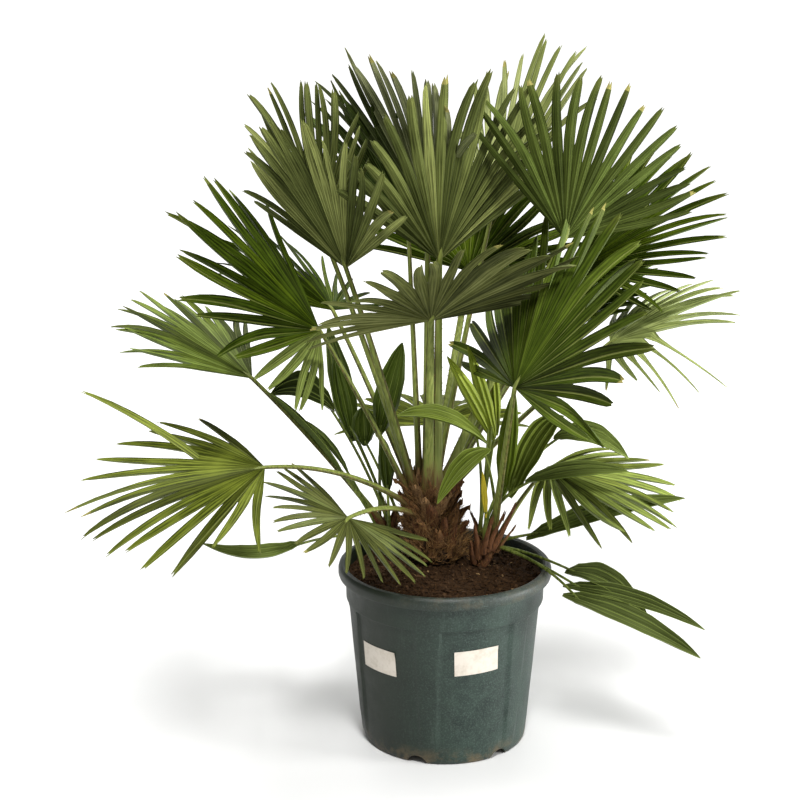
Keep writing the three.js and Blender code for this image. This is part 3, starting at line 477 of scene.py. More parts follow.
old_sheath = fibre_material("weathered_palm_sheath", "#201308", "#795530", 380.0)
grey_sheath = fibre_material("greyed_palm_sheath", "#352517", "#917049", 380.0)
red_sheath = fibre_material("red_brown_palm_sheath", "#241409", "#694325", 380.0)
loose_fibre = fibre_material("loose_palm_fibre", "#422D17", "#AA834F", 600.0)
# The stem's core, seen only in the gaps between the old bases, is painted near black as shade in those
# crevices.
painted_shade_core = fibre_material("painted_shade_stem_core", "#120B05", "#34220F", 300.0)
dice = random.Random(5)
points, faces = [], []
LEVELS, TURNS = 60, 96
for level in range(LEVELS + 1):
    share = level / LEVELS
    for k in range(TURNS):
        angle = 2 * pi * k / TURNS
        relief = noise.fractal(Vector((cos(angle) * 3, sin(angle) * 3, share * 6)), 0.7, 2.0, 4) * 0.005
        points.append(on_stem(share, angle, max(0.002, stem_radius(share) - 0.008 + relief)))
for level in range(LEVELS):
    for k in range(TURNS):
        a, b = level * TURNS + k, level * TURNS + (k + 1) % TURNS
        faces.append((a, b, b + TURNS, a + TURNS))
faces.append(tuple(TURNS - 1 - k for k in range(TURNS)))
faces.append(tuple(LEVELS * TURNS + k for k in range(TURNS)))
slots = [4] * len(faces)


def add_sheath(foot, up, out, length, width, thick, flare, narrow=0.55):
    # One old leaf base: a scale curved round the stem, narrowing to a torn stub. Gives its number
    # of faces.
    start = len(points)
    side = up.cross(out).normalized()
    rows, columns = 8, 7
    lean_aside = dice.uniform(-0.3, 0.3)
    for skin in (1, -1):
        for i in range(rows):
            t = i / (rows - 1)
            half = width / 2 * (1 - narrow * t ** 1.2)
            for j in range(columns):
                a = j / (columns - 1) * 2 - 1
                lean = out * (flare * t * t * length) - out * (a * a * half * 0.6)
                lean += side * lean_aside * t * t * length
                torn = up * (dice.uniform(-0.22, 0.16) * length if i == rows - 1 else 0)
                spot = foot + up * t * length + side * a * half + lean + torn
                points.append(spot + out * skin * thick * (1 - 0.5 * t))
    size = rows * columns
    for i in range(rows - 1):
        for j in range(columns - 1):
            a = start + i * columns + j
            faces.append((a, a + 1, a + columns + 1, a + columns))
            b = a + size
            faces.append((b, b + columns, b + columns + 1, b + 1))
    edge = [start + j for j in range(columns)]
    edge += [start + i * columns + columns - 1 for i in range(1, rows)]
    edge += [start + (rows - 1) * columns + j for j in range(columns - 2, -1, -1)]
    edge += [start + i * columns for i in range(rows - 2, 0, -1)]
    for i, a in enumerate(edge):
        b = edge[(i + 1) % len(edge)]
        faces.append((a, a + size, b + size, b))
    return 2 * (rows - 1) * (columns - 1) + len(edge)


# Below, the bases are worn short and lie close; above, they are longer and stand off the stem.
for row in range(OLD_BASE_ROWS):
    for spot in range(OLD_BASES_IN_ROW):
        share = 0.02 + 0.12 * row + dice.uniform(-0.04, 0.04)
        angle = 2 * pi * (spot + 0.5 * (row % 2)) / OLD_BASES_IN_ROW + dice.uniform(-0.25, 0.25)
        out = outwards(angle)
        up = Vector((out.x * 0.3 * share, out.y * 0.3 * share, 1)).normalized()
        foot = on_stem(share, angle, stem_radius(share) - 0.005)
        length = dice.uniform(0.026, 0.036) + 0.018 * share
        width, thick = dice.uniform(0.018, 0.032), dice.uniform(0.0014, 0.003)
        flare = dice.uniform(0.0, 0.25) + 0.35 * share
        added = add_sheath(foot, up, out, length, width, thick, flare, dice.uniform(0.35, 0.75))
        slots += [dice.choice([0, 0, 0, 1, 2])] * added
# Torn strips of newer sheath stand up between the leaf stalks at the head of the stem.
for spot in range(NEWER_STRIPS):
    angle = 2 * pi * spot / NEWER_STRIPS + dice.uniform(-0.15, 0.15)
    out = outwards(angle)
    share = dice.uniform(0.72, 0.9)
    foot = on_stem(share, angle, stem_radius(share) - 0.008)
    length, width = dice.uniform(0.034, 0.062), dice.uniform(0.008, 0.014)
    added = add_sheath(foot, Vector((0, 0, 1)), out, length, width, 0.0009, dice.uniform(-0.1, 0.15), 0.6)
    slots += [dice.choice([0, 1, 2])] * added
# Coarse brown fibre stands out all over it.
for _ in range(STEM_FIBRES):
    share = dice.uniform(0.02, 0.97)
    angle = dice.uniform(0, 2 * pi)
    out = outwards(angle)
    foot = on_stem(share, angle, stem_radius(share) - 0.006)
    way = out * dice.uniform(0.05, 0.8)
    way += Vector((dice.gauss(0, 0.45), dice.gauss(0, 0.45), dice.uniform(0.3, 1.5)))
    way.normalize()
    length = dice.uniform(0.012, 0.034)
    added = add_tube(points, faces, [foot, foot + way * length * 0.6 + out * 0.002, foot + way * length],
                     [0.0006, 0.0004, 0.0001], 3)
    slots += [dice.choice([3, 3, 0, 1])] * added
sheath_skins = [old_sheath, grey_sheath, red_sheath, loose_fibre, painted_shade_core]
stem = new_piece("palm_stem", points, faces, sheath_skins, slots)
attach(stem, "root")
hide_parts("stem")


# Two side shoots beside the stem: slim bundles of red-brown sheaths that carry the young
# leaves, each with a few dry, torn stubs.
SHEATHS_ON_SHOOT, FIBRES_ON_SHOOT = 20, 320
# Each shoot has its foot, its head and the radius at both.
SHOOTS = {
    "shoot_right": ((64, 20, 313.9), (88, 20, 372), 19, 10),
    "shoot_left": ((-92, 116, 309.8), (-98, 114, 358), 17, 10),
}
# Each torn sheath has its foot, its end and its width.
TORN = {
    "shoot_right": [((90, -4, 345), (132, -6, 428), 15), ((82, -6, 345), (97, -14, 418), 12),
                    ((72, -8, 340), (80, -18, 412), 12), ((62, -4, 330), (60, -16, 396), 13),
                    ((98, 6, 340), (124, 0, 390), 11), ((54, 0, 320), (40, -14, 366), 11),
                    ((92, 26, 340), (120, 44, 400), 13), ((70, 34, 340), (66, 52, 400), 12)],
    "shoot_left": [((-106, 98, 335), (-128, 88, 392), 11), ((-90, 98, 335), (-88, 86, 386), 11),
                   ((-100, 130, 335), (-106, 146, 392), 11)],
}
for name, (foot, head, foot_radius, head_radius) in SHOOTS.items():
    dice = random.Random(name)
    foot, head = Vector(foot) / 1000, Vector(head) / 1000
    points, faces = [], []
    path = [ground + foot.lerp(head, t) for t in (0, 0.25, 0.6, 1.0, 1.06)]
    core = (foot_radius, foot_radius * 1.05, foot_radius * 0.8, head_radius, 4)
    add_tube(points, faces, path, [r / 1000 - 0.002 for r in core], 24)
    slots = [0] * len(faces)
    for _ in range(SHEATHS_ON_SHOOT):
        share = dice.uniform(0.0, 0.75)
        angle = dice.uniform(0, 2 * pi)
        out = outwards(angle)
        radius = (foot_radius + (head_radius - foot_radius) * share) / 1000
        up = ((head - foot).normalized() + out * 0.12).normalized()
        spot = ground + foot.lerp(head, share) + out * (radius - 0.003)
        added = add_sheath(spot, up, out, dice.uniform(0.022, 0.044), dice.uniform(0.012, 0.022),
                           dice.uniform(0.0012, 0.002), dice.uniform(0.0, 0.3))
        slots += [dice.choice([0, 0, 1])] * added
    for low, high, wide in TORN[name]:
        low, high = ground + Vector(low) / 1000, ground + Vector(high) / 1000
        up = (high - low).normalized()
        out = low - ground - Vector((foot.x, foot.y, low.z))
        out = (out - up * out.dot(up)).normalized()
        added = add_sheath(low, up, out, (high - low).length, wide / 1000, 0.0012, 0.05, 0.6)
        slots += [dice.choice([0, 0, 1])] * added
    for _ in range(FIBRES_ON_SHOOT):
        share = dice.uniform(0.0, 0.95)
        angle = dice.uniform(0, 2 * pi)
        out = outwards(angle)
        radius = (foot_radius + (head_radius - foot_radius) * share) / 1000
        spot = ground + foot.lerp(head, share) + out * (radius - 0.002)
        way = out * 0.5 + Vector((dice.gauss(0, 0.3), dice.gauss(0, 0.3), dice.uniform(0.5, 1.5)))
        way.normalize()
        fibre = [spot, spot + way * dice.uniform(0.008, 0.022)]
        slots += [2] * add_tube(points, faces, fibre, [0.0006, 0.0001], 3)
    shoot = new_piece("palm_" + name, points, faces, [red_sheath, old_sheath, loose_fibre], slots)
    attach(shoot, "root")
    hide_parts(name)


# Petioles: stiff green leaf stalks, flat on top and round below, armed on both edges with short
# forward spines. Each swells into the stem at its foot and runs out into its fan's hub.
# Each fan has its hub, the way its middle leaflet points, its roll, reach, spread, the outer
# leaflets' share of the reach, skew, droop, leaflets, green, split, sag and slimness.
FANS = {
    "01": ((-25, -60, 778), -77, 38, 8, 310, 176, 0.80, 0.05, 0.02, 21, "ashen", 0.52, 0.03, 0.85),
    "02": ((-10, 10, 868), -48, 77, -4, 355, 114, 0.85, 0.0, 0.01, 18, "olive", 0.56, 0.00, 1.00),
    "03": ((-168, -40, 864), -146, 67, 6, 285, 122, 0.92, 0.0, 0.0, 18, "olive", 0.56, 0.00, 1.00),
    "04": ((-214, -20, 752), -137, 25, -47, 335, 146, 0.72, -0.2, 0.0, 18, "dark", 0.47, 0.01, 0.95),
    "05": ((-337, 40, 652), 159, 31, 1, 275, 112, 0.88, 0.0, 0.0, 18, "soft", 0.56, 0.02, 0.90),
    "06": ((-305, -120, 538), -166, -6, -9, 345, 146, 0.85, 0.0, 0.02, 17, "fresh", 0.42, 0.03, 0.90),
    "07": ((-165, -120, 448), -105, -6, -29, 163, 233, 1.0, 0.0, 0.02, 20, "dusty", 0.44, 0.03, 0.90),
    "08": ((113, -140, 682), 19, 62, 3, 350, 186, 0.78, -0.1, 0.01, 23, "bright", 0.56, 0.01, 1.00),
    "09": ((247, 200, 818), -11, 30, 31, 308, 125, 0.95, 0.15, 0.02, 18, "dark", 0.52, 0.02, 0.90),
    "10": ((202, -10, 909), 27, 68, -109, 296, 120, 0.87, -0.08, 0.01, 18, "shade", 0.52, 0.01, 0.95),
    "11": ((86, 150, 924), 66, 56, -38, 375, 96, 0.85, 0.0, 0.01, 16, "lit", 0.50, 0.01, 1.00),
    "12": ((-28, 130, 928), -134, 66, -7, 335, 85, 0.95, 0.0, 0.01, 14, "lit", 0.50, 0.00, 1.00),
    "13": ((-211, 30, 916), -160, 81, 22, 285, 105, 0.82, 0.0, 0.0, 16, "olive", 0.54, 0.01, 1.00),
    "14": ((-63, 210, 905), -179, 57, 34, 290, 90, 0.85, 0.0, 0.0, 14, "dark", 0.50, 0.00, 1.00),
    "15": ((300, 120, 698), -14, 27, 12, 268, 176, 0.78, 0.15, 0.06, 16, "pale", 0.40, 0.06, 0.70),
    "16": ((185, 20, 494), -27, -14, 5, 250, 155, 0.85, 0.0, 0.02, 16, "dewy", 0.46, 0.05, 0.95),
    "17": ((50, 240, 805), 78, 42, 10, 290, 160, 0.82, 0.0, 0.03, 18, "dark", 0.50, 0.03, 0.95),
    "18": ((-200, 200, 740), 138, 35, 15, 280, 160, 0.82, 0.0, 0.03, 16, "dark", 0.30, 0.03, 0.70),
    "19": ((190, 240, 690), 45, 28, -20, 270, 160, 0.82, 0.0, 0.04, 16, "dark", 0.50, 0.03, 0.95),
    "20": ((-10, 260, 505), 95, 5, 0, 230, 170, 0.85, 0.0, 0.04, 15, "fresh", 0.50, 0.04, 0.95),
}


def bowed_path(foot, bend, head, steps):
    # A stalk's path from foot to head, drawn towards its bend.
    path = []
    for i in range(steps + 1):
        t = i / steps
        path.append(ground + foot * (1 - t) ** 2 + bend * 2 * t * (1 - t) + head * t * t)
    return path


# Some petioles are stouter or slimmer than the rest.
STOUT = {"01": 1.25, "02": 1.25, "08": 1.15, "03": 1.1, "12": 1.1, "07": 0.75}
UP = Vector((0, 0, 1))


def fan_axes(azimuth, elevation, roll):
    a, e = radians(azimuth), radians(elevation)
    middle = Vector((cos(e) * cos(a), cos(e) * sin(a), sin(e)))
    level = Vector((-sin(a), cos(a), 0))
    across = Quaternion(middle, radians(roll)) @ level
    return middle, across, middle.cross(across)


def stalk_material(name, pale, deep):
    # Living palm stalk: a waxy satin skin, streaked and blotched lengthwise, and browned where
    # it leaves the stem by the old sheath that still clings to it.
    made, tree, shader, place = new_material(name, 0.48, 0.15)
    drawn = add_node(tree, "Mapping", {"Scale": (1.0, 1.0, 0.05)}, {"Vector": place})
    streaks = add_node(tree, "TexNoise", {"Scale": 260.0, "Detail": 6.0}, {"Vector": drawn})
    blend = add_node(tree, "MapRange", {1: 0.38, 2: 0.62}, {0: streaks})
    tone = add_node(tree, "Mix", {"data_type": "RGBA", 6: linear(deep), 7: linear(pale)}, {0: blend})
    flow = add_node(tree, "UVMap", {"uv_map": "stalk"})
    parts = add_node(tree, "SeparateXYZ", {}, {0: flow})
    ragged = add_node(tree, "Math", {"operation": "MULTIPLY_ADD", 1: -0.16},
                      {0: streaks, 2: parts.outputs["Y"]})
    foot = add_node(tree, "MapRange", {1: -0.06, 2: 0.0, 3: 1.0, 4: 0.0}, {0: ragged})
    browned = add_node(tree, "Mix", {"data_type": "RGBA", 7: linear("#4E3C20")},
                       {0: foot, 6: tone.outputs[2]})
    bump = add_node(tree, "Bump", {"Strength": 0.35, "Distance": 0.0005}, {"Height": streaks})
    link_up(shader, {"Base Color": browned.outputs[2], "Normal": bump})
    return made


def map_stalk(thing, foot, scale=1.0):
    # The map runs with the distance from the stalk's foot, in metres times the scale.
    layer = thing.data.uv_layers.new(name="stalk")
    for loop in thing.data.loops:
        spot = thing.data.vertices[loop.vertex_index].co
        layer.data[loop.index].uv = (0.5, (spot - foot).length * scale)


stalk_green = stalk_material("green_petiole_skin", "#7C8442", "#5C662C")
stalk_edge = stalk_material("dark_petiole_edge", "#5A5A2A", "#3A3A18")
stalk_spine = stalk_material("brown_petiole_spine", "#7A5C34", "#4C361C")
STALK_STEPS, STALK_SIDES = 30, 12
for key, (hub, azimuth, elevation, roll, *_) in FANS.items():
    dice = random.Random("petiole" + key)
    name = "petiole_" + key
    hub = Vector(hub) / 1000
    middle, across, _ = fan_axes(azimuth, elevation, roll)
    corners = [v.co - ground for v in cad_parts[name].data.vertices]
    far = max((c - hub).length for c in corners)
    low_ring = [c for c in corners if (c - hub).length > far - 0.007]
    foot = sum(low_ring, Vector()) / len(low_ring)
    span = (hub - foot).length
    bow = 0.16 if hub.z < STEM_HEAD.z + 0.12 else 0.05
    bend = foot.lerp(hub, 0.45) + UP * bow * span
    foot -= (bend - foot).normalized() * 0.010
    path = bowed_path(foot, bend, hub, STALK_STEPS)
    path.append(ground + hub + middle * 0.010)
    path.append(ground + hub + middle * 0.024)
    stout = STOUT.get(key, 1.0)
    radii = []
    for i in range(STALK_STEPS + 1):
        t = i / STALK_STEPS
        radii.append(stout * (0.0098 - 0.0048 * t ** 0.75 + 0.0035 * max(0.0, 1 - t * 9)))
    radii += [0.0048 * stout, 0.0008]
    points, faces = [], []
    end_way = (path[STALK_STEPS] - path[STALK_STEPS - 1]).normalized()
    flat_to = across.cross(end_way).normalized()
    add_tube(points, faces, path, radii, STALK_SIDES, 0.6, flat_to)
    # The two edges are darker than the flat top and the round underside.
    slots = [1 if i % STALK_SIDES in (11, 0, 5, 6) else 0 for i in range(len(faces) - 2)]
    slots += [1, 0]
    for i in range(3, STALK_STEPS - 4):
        for side in (-1, 1):
            if dice.random() < 0.25:
                continue
            along = (path[i + 1] - path[i - 1]).normalized()
            edge = along.cross(flat_to).normalized() * side
            spot = path[i] + edge * radii[i] * 0.86 + along * dice.uniform(-0.004, 0.004)
            spine = [spot, spot + (along * 0.75 + edge * 0.65) * dice.uniform(0.003, 0.0055)]
            slots += [2] * add_tube(points, faces, spine, [0.0010, 0.0001], 4)
    petiole = new_piece("stalk_" + key, points, faces, [stalk_green, stalk_edge, stalk_spine], slots)
    map_stalk(petiole, path[0])
    bpy.ops.object.shade_smooth_by_angle(angle=radians(50))
    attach(petiole, "root")
    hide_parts(name)


# Fan blades: stiff pleated leaves, joined into one sheet for the inner half and then split into
# narrow folded leaflets, each forked at its tip. The face is green, the back paler and greyer.
def leaf_material(name, deep, pale, rough, gloss, rib, contrast):
    # Living palm leaf: a tough waxy skin with fine veins along each leaflet and a pale rib in its
    # fold. The real veins are under 1 mm apart, so they are drawn 2 to 3 mm apart to show at all.
    # The valley between two leaflets is painted darker, as shade.
    made, tree, shader, place = new_material(name, rough, gloss)
    shader.inputs["Specular Tint"].default_value = linear("#E6F0A8")
    flow = add_node(tree, "UVMap", {"uv_map": "leaf"})
    along = add_node(tree, "Mapping", {"Scale": (0.018, 0.007, 1.0)}, {"Vector": flow})
    veins = add_node(tree, "TexNoise", {"Scale": 500.0, "Detail": 3.0}, {"Vector": along})
    patch = add_node(tree, "TexNoise", {"Scale": 17.0, "Detail": 4.0}, {"Vector": place})
    fine = add_node(tree, "MapRange",
                    {1: 0.42, 2: 0.58, 3: 0.375 - contrast / 2, 4: 0.375 + contrast / 2}, {0: veins})
    broad = add_node(tree, "MapRange", {1: 0.35, 2: 0.65, 4: 0.25}, {0: patch})
    level = add_node(tree, "Math", {"operation": "ADD"}, {0: fine, 1: broad})
    tone = add_node(tree, "Mix", {"data_type": "RGBA", 6: linear(deep), 7: linear(pale)}, {0: level})
    parts = add_node(tree, "SeparateXYZ", {}, {0: flow})
    line = add_node(tree, "MapRange", {1: 0.03, 2: 0.09, 3: 0.5, 4: 0.0}, {0: parts.outputs["X"]})
    ribbed = add_node(tree, "Mix", {"data_type": "RGBA", 7: linear(rib)}, {0: line, 6: tone.outputs[2]})
    # Painted shade: the valley between two leaflets is darkened towards half the deep green.
    valley = add_node(tree, "MapRange", {1: 0.38, 2: 0.48, 4: 0.73 * contrast}, {0: parts.outputs["X"]})
    shaded = tuple(c * 0.5 for c in linear(deep)[:3]) + (1.0,)
    folded = add_node(tree, "Mix", {"data_type": "RGBA", 7: shaded}, {0: valley, 6: ribbed.outputs[2]})
    ends = add_node(tree, "MapRange", {1: 0.84, 2: 1.0, 4: 0.3}, {0: parts.outputs["Y"]})
    tipped = add_node(tree, "Mix", {"data_type": "RGBA", 7: linear("#72743A")},
                      {0: ends, 6: folded.outputs[2]})
    bump = add_node(tree, "Bump", {"Strength": 0.4, "Distance": 0.0005}, {"Height": veins})
    link_up(shader, {"Base Color": tipped.outputs[2], "Normal": bump})
    return made


def map_leaf(thing, flow):
    # The map runs across half a leaflet, from its rib to its edge, and along it from the hub.
    layer = thing.data.uv_layers.new(name="leaf")
    for loop in thing.data.loops:
        layer.data[loop.index].uv = flow[loop.vertex_index]


# Three greens for each kind of fan, each deep and pale, dealt out by leaflet.
FACE_GREENS = {
    "ashen": [("#282F10", "#666E3C"), ("#323917", "#7A824D"), ("#1E250C", "#535A31")],
    "lit": [("#38401A", "#7C844B"), ("#424A23", "#8D935A"), ("#202610", "#5A6436")],
    "shade": [("#1C2508", "#4A5625"), ("#222A0A", "#525F2A"), ("#171E06", "#404D1F")],
    "olive": [("#242C0E", "#717D42"), ("#333A19", "#939E59"), ("#181E08", "#565E2F")],
    "dark": [("#0F1803", "#425312"), ("#182003", "#546617"), ("#070F01", "#313E0B")],
    "fresh": [("#242C08", "#737D2B"), ("#2F360F", "#8A953B"), ("#161A03", "#51591C")],
    "soft": [("#242E0D", "#738337"), ("#2F3915", "#8A9C4C"), ("#161C05", "#515D25")],
    # Fan 16's greens are the fresh greens made lighter and bluer, a painted sheen.
    "dewy": [("#2D3712", "#8B9743"), ("#3A431B", "#A5B55B"), ("#1D2208", "#626C2D")],
    "dusty": [("#20250D", "#616632"), ("#272D13", "#6E7640"), ("#161B07", "#4C5126")],
    "bright": [("#101902", "#49591A"), ("#192106", "#5C6D23"), ("#0A0F01", "#37430F")],
    "pale": [("#434D23", "#B2BE72"), ("#4E582A", "#C6D185"), ("#343C19", "#93A05C")],
}
BACK_GREENS = {
    "ashen": [("#24290D", "#686C3E"), ("#303515", "#808451"), ("#1A1F09", "#525633")],
    "lit": [("#383F23", "#80855C"), ("#42482B", "#91956D"), ("#202512", "#5A633C")],
    "shade": [("#111704", "#495423"), ("#161C07", "#56642C"), ("#0A0F02", "#39431A")],
    "olive": [("#20250C", "#717942"), ("#2F3416", "#949B5A"), ("#161A07", "#555D30")],
    "dark": [("#1C240A", "#566630"), ("#212B0F", "#62733C"), ("#131A05", "#455225")],
    "fresh": [("#333913", "#707A3F"), ("#3C441A", "#7F894A"), ("#262D0C", "#59612F")],
    "soft": [("#333C1A", "#707F4D"), ("#3C4721", "#7F8F5A"), ("#262F11", "#59653A")],
    # Fan 16's backs are the fresh backs made lighter and bluer, a painted sheen.
    "dewy": [("#3F4620", "#87935E"), ("#4A532A", "#98A56D"), ("#2F3817", "#6C7547")],
    "dusty": [("#373D22", "#697054"), ("#3E4428", "#71765C"), ("#32381D", "#61664A")],
    "bright": [("#252E0F", "#525E2F"), ("#2D3714", "#5F6E3A"), ("#1C2409", "#424E25")],
    "pale": [("#636E3E", "#99A36F"), ("#6C7746", "#A2AC77"), ("#5A6537", "#8E9965")],
}
# The broad, older fans keep strap-like leaflets with shallow folds, and the younger ones run out
# to slender points.
BROAD = ("olive", "ashen", "bright", "lit", "shade")
CONTRAST = {"dark": 0.62, "fresh": 0.62}
GLOSS = {"dark": 0.02, "bright": 0.06}
RIB_GREEN = "#8C9352"
# Dry tips are straw-coloured, and olive on the dark fans.
DRY = {"dark": ("#3A4416", "#727E40")}
STRAW = ("#6E6A34", "#948A54")
leaf_greens = {}
for kind in FACE_GREENS:
    contrast = CONTRAST.get(kind, 0.5)
    dry = DRY.get(kind, STRAW)
    made = []
    for side, greens, rough, gloss in (("face", FACE_GREENS[kind], 0.42, GLOSS.get(kind, 0.12)),
                                       ("back", BACK_GREENS[kind], 0.6, 0.06)):
        for i, (deep, pale) in enumerate(greens):
            rib = RIB_GREEN if side == "face" else pale
            name = f"palm_leaf_{side}_{kind}_{i + 1}"
            made.append(leaf_material(name, deep, pale, rough, gloss, rib, contrast))
        made.append(leaf_material(f"dry_palm_tip_{side}_{kind}", *dry, 0.7, 0.08, RIB_GREEN, 0.75))
    leaf_greens[kind] = made

# Where the joined part's rings lie, as shares of the way to the leaflets' splits.
FUSED = [0.02, 0.1, 0.25, 0.4, 0.55, 0.7, 0.85, 1.0]
# Width of a free leaflet, from where it parts from its neighbours to just below its fork.
FREE = [(0.13, 1.02), (0.28, 1.0), (0.44, 0.97), (0.6, 0.91), (0.76, 0.8), (0.9, 0.6)]
# Stray leaflets, by their number: how far each leaves the blade, its share of the length and of
# the width. One of the lowest left fan stands up, and four of the pale fan at the right hang down.
STRAY = {
    "06": {4: (0.42, 1.0, 1.0)},
    "15": {2: (-0.30, 0.86, 0.5), 3: (-0.52, 0.84, 0.5), 4: (-0.38, 0.86, 0.5), 5: (-0.50, 0.84, 0.5)},
}
# How often a fan takes its first, lighter and darker green, where that isn't 5, 3 and 3.
TINTS = {"02": (4, 1, 4), "03": (1, 9, 1), "11": (6, 4, 0), "12": (2, 8, 0), "16": (3, 7, 1)}
# The first leaflets of one fan at the top stand in its neighbours' shade.
SHADED = {"12": 4}
# The last leaflets of one fan at the left have dulled to brown olive.
DULLED = {"04": 5}
DRY_TIP_CHANCE = 0.12
for key, fan in FANS.items():
    hub, azimuth, elevation, roll, reach, spread, edge, skew, droop, count, kind, split, sag, slim = fan
    dice = random.Random("fan" + key)
    middle, across, upper = fan_axes(azimuth, elevation, roll)
    hub = ground + Vector(hub) / 1000
    full = reach / 1000
    step = spread / (count - 1)
    half = step / 2
    fold = tan(radians(half))
    taper = 1.0 if kind in BROAD else 1.6
    pleat = 0.34 if kind in BROAD else 0.42
    points, faces, slots, flow = [], [], [], []
    lengths = []
    for k in range(count):
        share = (k * step - spread / 2) / (spread / 2)
        size = full * (1 - (1 - edge) * share * share) * (1 + skew * share)
        lengths.append(size * dice.uniform(0.91, 1.0))

    def joined(angle, radius, lift, u):
        # A point of the joined inner part of the blade.
        turn = radians(angle)
        spot = hub + middle * radius * cos(turn) + across * radius * sin(turn) + upper * lift
        points.append(spot - UP * (droop * radius * radius / full))
        flow.append((u, radius / full))
        return len(points) - 1

    # The leaflets part from each other at a ragged line across the blade.
    splits = []
    for b in range(count + 1):
        near = min(lengths[max(b - 1, 0)], lengths[min(b, count - 1)])
        outer = 0.8 if b in (0, count) else 1.0
        splits.append(near * split * dice.uniform(0.84, 1.12) * outer)
    margins = []
    for b in range(count + 1):
        angle = -spread / 2 + (b - 0.5) * step
        cut = splits[b]
        margins.append([joined(angle, cut * s, pleat * cut * s * fold + 0.0003, 0.5) for s in FUSED])
    for k in range(count):
        angle = -spread / 2 + k * step
        stray, shorter, thinner = STRAY.get(key, {}).get(k, (0.0, 1.0, 1.0))
        total = lengths[k] * shorter
        thin = slim * thinner
        start = (splits[k] + splits[k + 1]) / 2
        lift_out = dice.gauss(0, 0.035)
        swing = dice.gauss(0, 0.042)
        hang = sag * dice.uniform(0.3, 1.8) + abs(dice.gauss(0, 0.012))
        twist = dice.gauss(0, 20)
        tint = dice.choices([0, 1, 2], TINTS.get(key, (5, 3, 3)))[0]
        tint = 2 if k < SHADED.get(key, 0) else tint
        tint = 3 if k >= count - DULLED.get(key, 0) else tint
        dry = dice.random() < DRY_TIP_CHANCE
        rows = []
        for s, right, left in zip(FUSED, margins[k], margins[k + 1]):
            radius = start * s
            rib = -pleat * radius * fold - 0.0002
            rows.append((right, joined(angle - half / 2, radius, rib * 0.1, 0.25),
                         joined(angle, radius, rib, 0.0),
                         joined(angle + half / 2, radius, rib * 0.1, 0.25), left))
        turn = radians(angle)
        outward = middle * cos(turn) + across * sin(turn)
        sideways = across * cos(turn) - middle * sin(turn)

        def loose(radius, offset, lift, u):
            # A point of the free part of a leaflet, bent, swung, twisted and sagging towards its tip.
            free = max(0.0, (radius - start) / (total - start))
            roll_by = radians(twist) * free
            side = sideways * cos(roll_by) + upper * sin(roll_by)
            face = upper * cos(roll_by) - sideways * sin(roll_by)
            spot = hub + outward * radius + side * offset + face * lift
            spot += (upper * (lift_out * free + stray) * total * free
                     + sideways * swing * total * free * free)
            spot -= UP * (droop * radius * radius / full + hang * total * free ** 2.2)
            points.append(spot)
            flow.append((u, min(1.0, radius / full)))
            return len(points) - 1

        width = start * fold
        for s, narrow in FREE:
            radius = start + (total - start) * s
            wide = width * narrow ** taper * (1 + (thin - 1) * min(1.0, s * 3))
            deep = pleat * 1.15 * wide
            rows.append(tuple(loose(radius, wide * a, deep * (abs(a) * 1.9 - 0.95), abs(a) * 0.5)
                              for a in (-1, -0.5, 0, 0.5, 1)))
        for a, b in zip(rows, rows[1:]):
            for j in range(4):
                faces.append((a[j], b[j], b[j + 1], a[j + 1]))
                slots.append(tint)
        last = rows[-1]
        notch = loose(start + (total - start) * 0.945, 0.0, -0.0008, 0.0)
        ends = sorted([1.0, dice.uniform(0.965, 1.0)], key=lambda _: dice.random())
        for side, end in zip((-1, 1), ends):
            tip = loose(start + (total - start) * end, side * width * thin * 0.24, 0.0, 0.3)
            outer, inner = (last[0], last[1]) if side < 0 else (last[4], last[3])
            corners = [(outer, tip, inner), (inner, tip, notch), (inner, notch, last[2])]
            for corner in corners:
                faces.append(corner if side < 0 else corner[::-1])
                slots.append(3 if dry else tint)
    blade = new_piece("fan_blade_" + key, points, faces, leaf_greens[kind], slots)
    map_leaf(blade, flow)
    # The four materials of the back come after the four of the face.
    apply_modifier(blade, "SOLIDIFY", thickness=0.0009, offset=0.0, material_offset=4, material_offset_rim=0)
    bpy.ops.object.shade_smooth_by_angle(angle=radians(22))
    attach(blade, "root")
    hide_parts("fan_" + key)


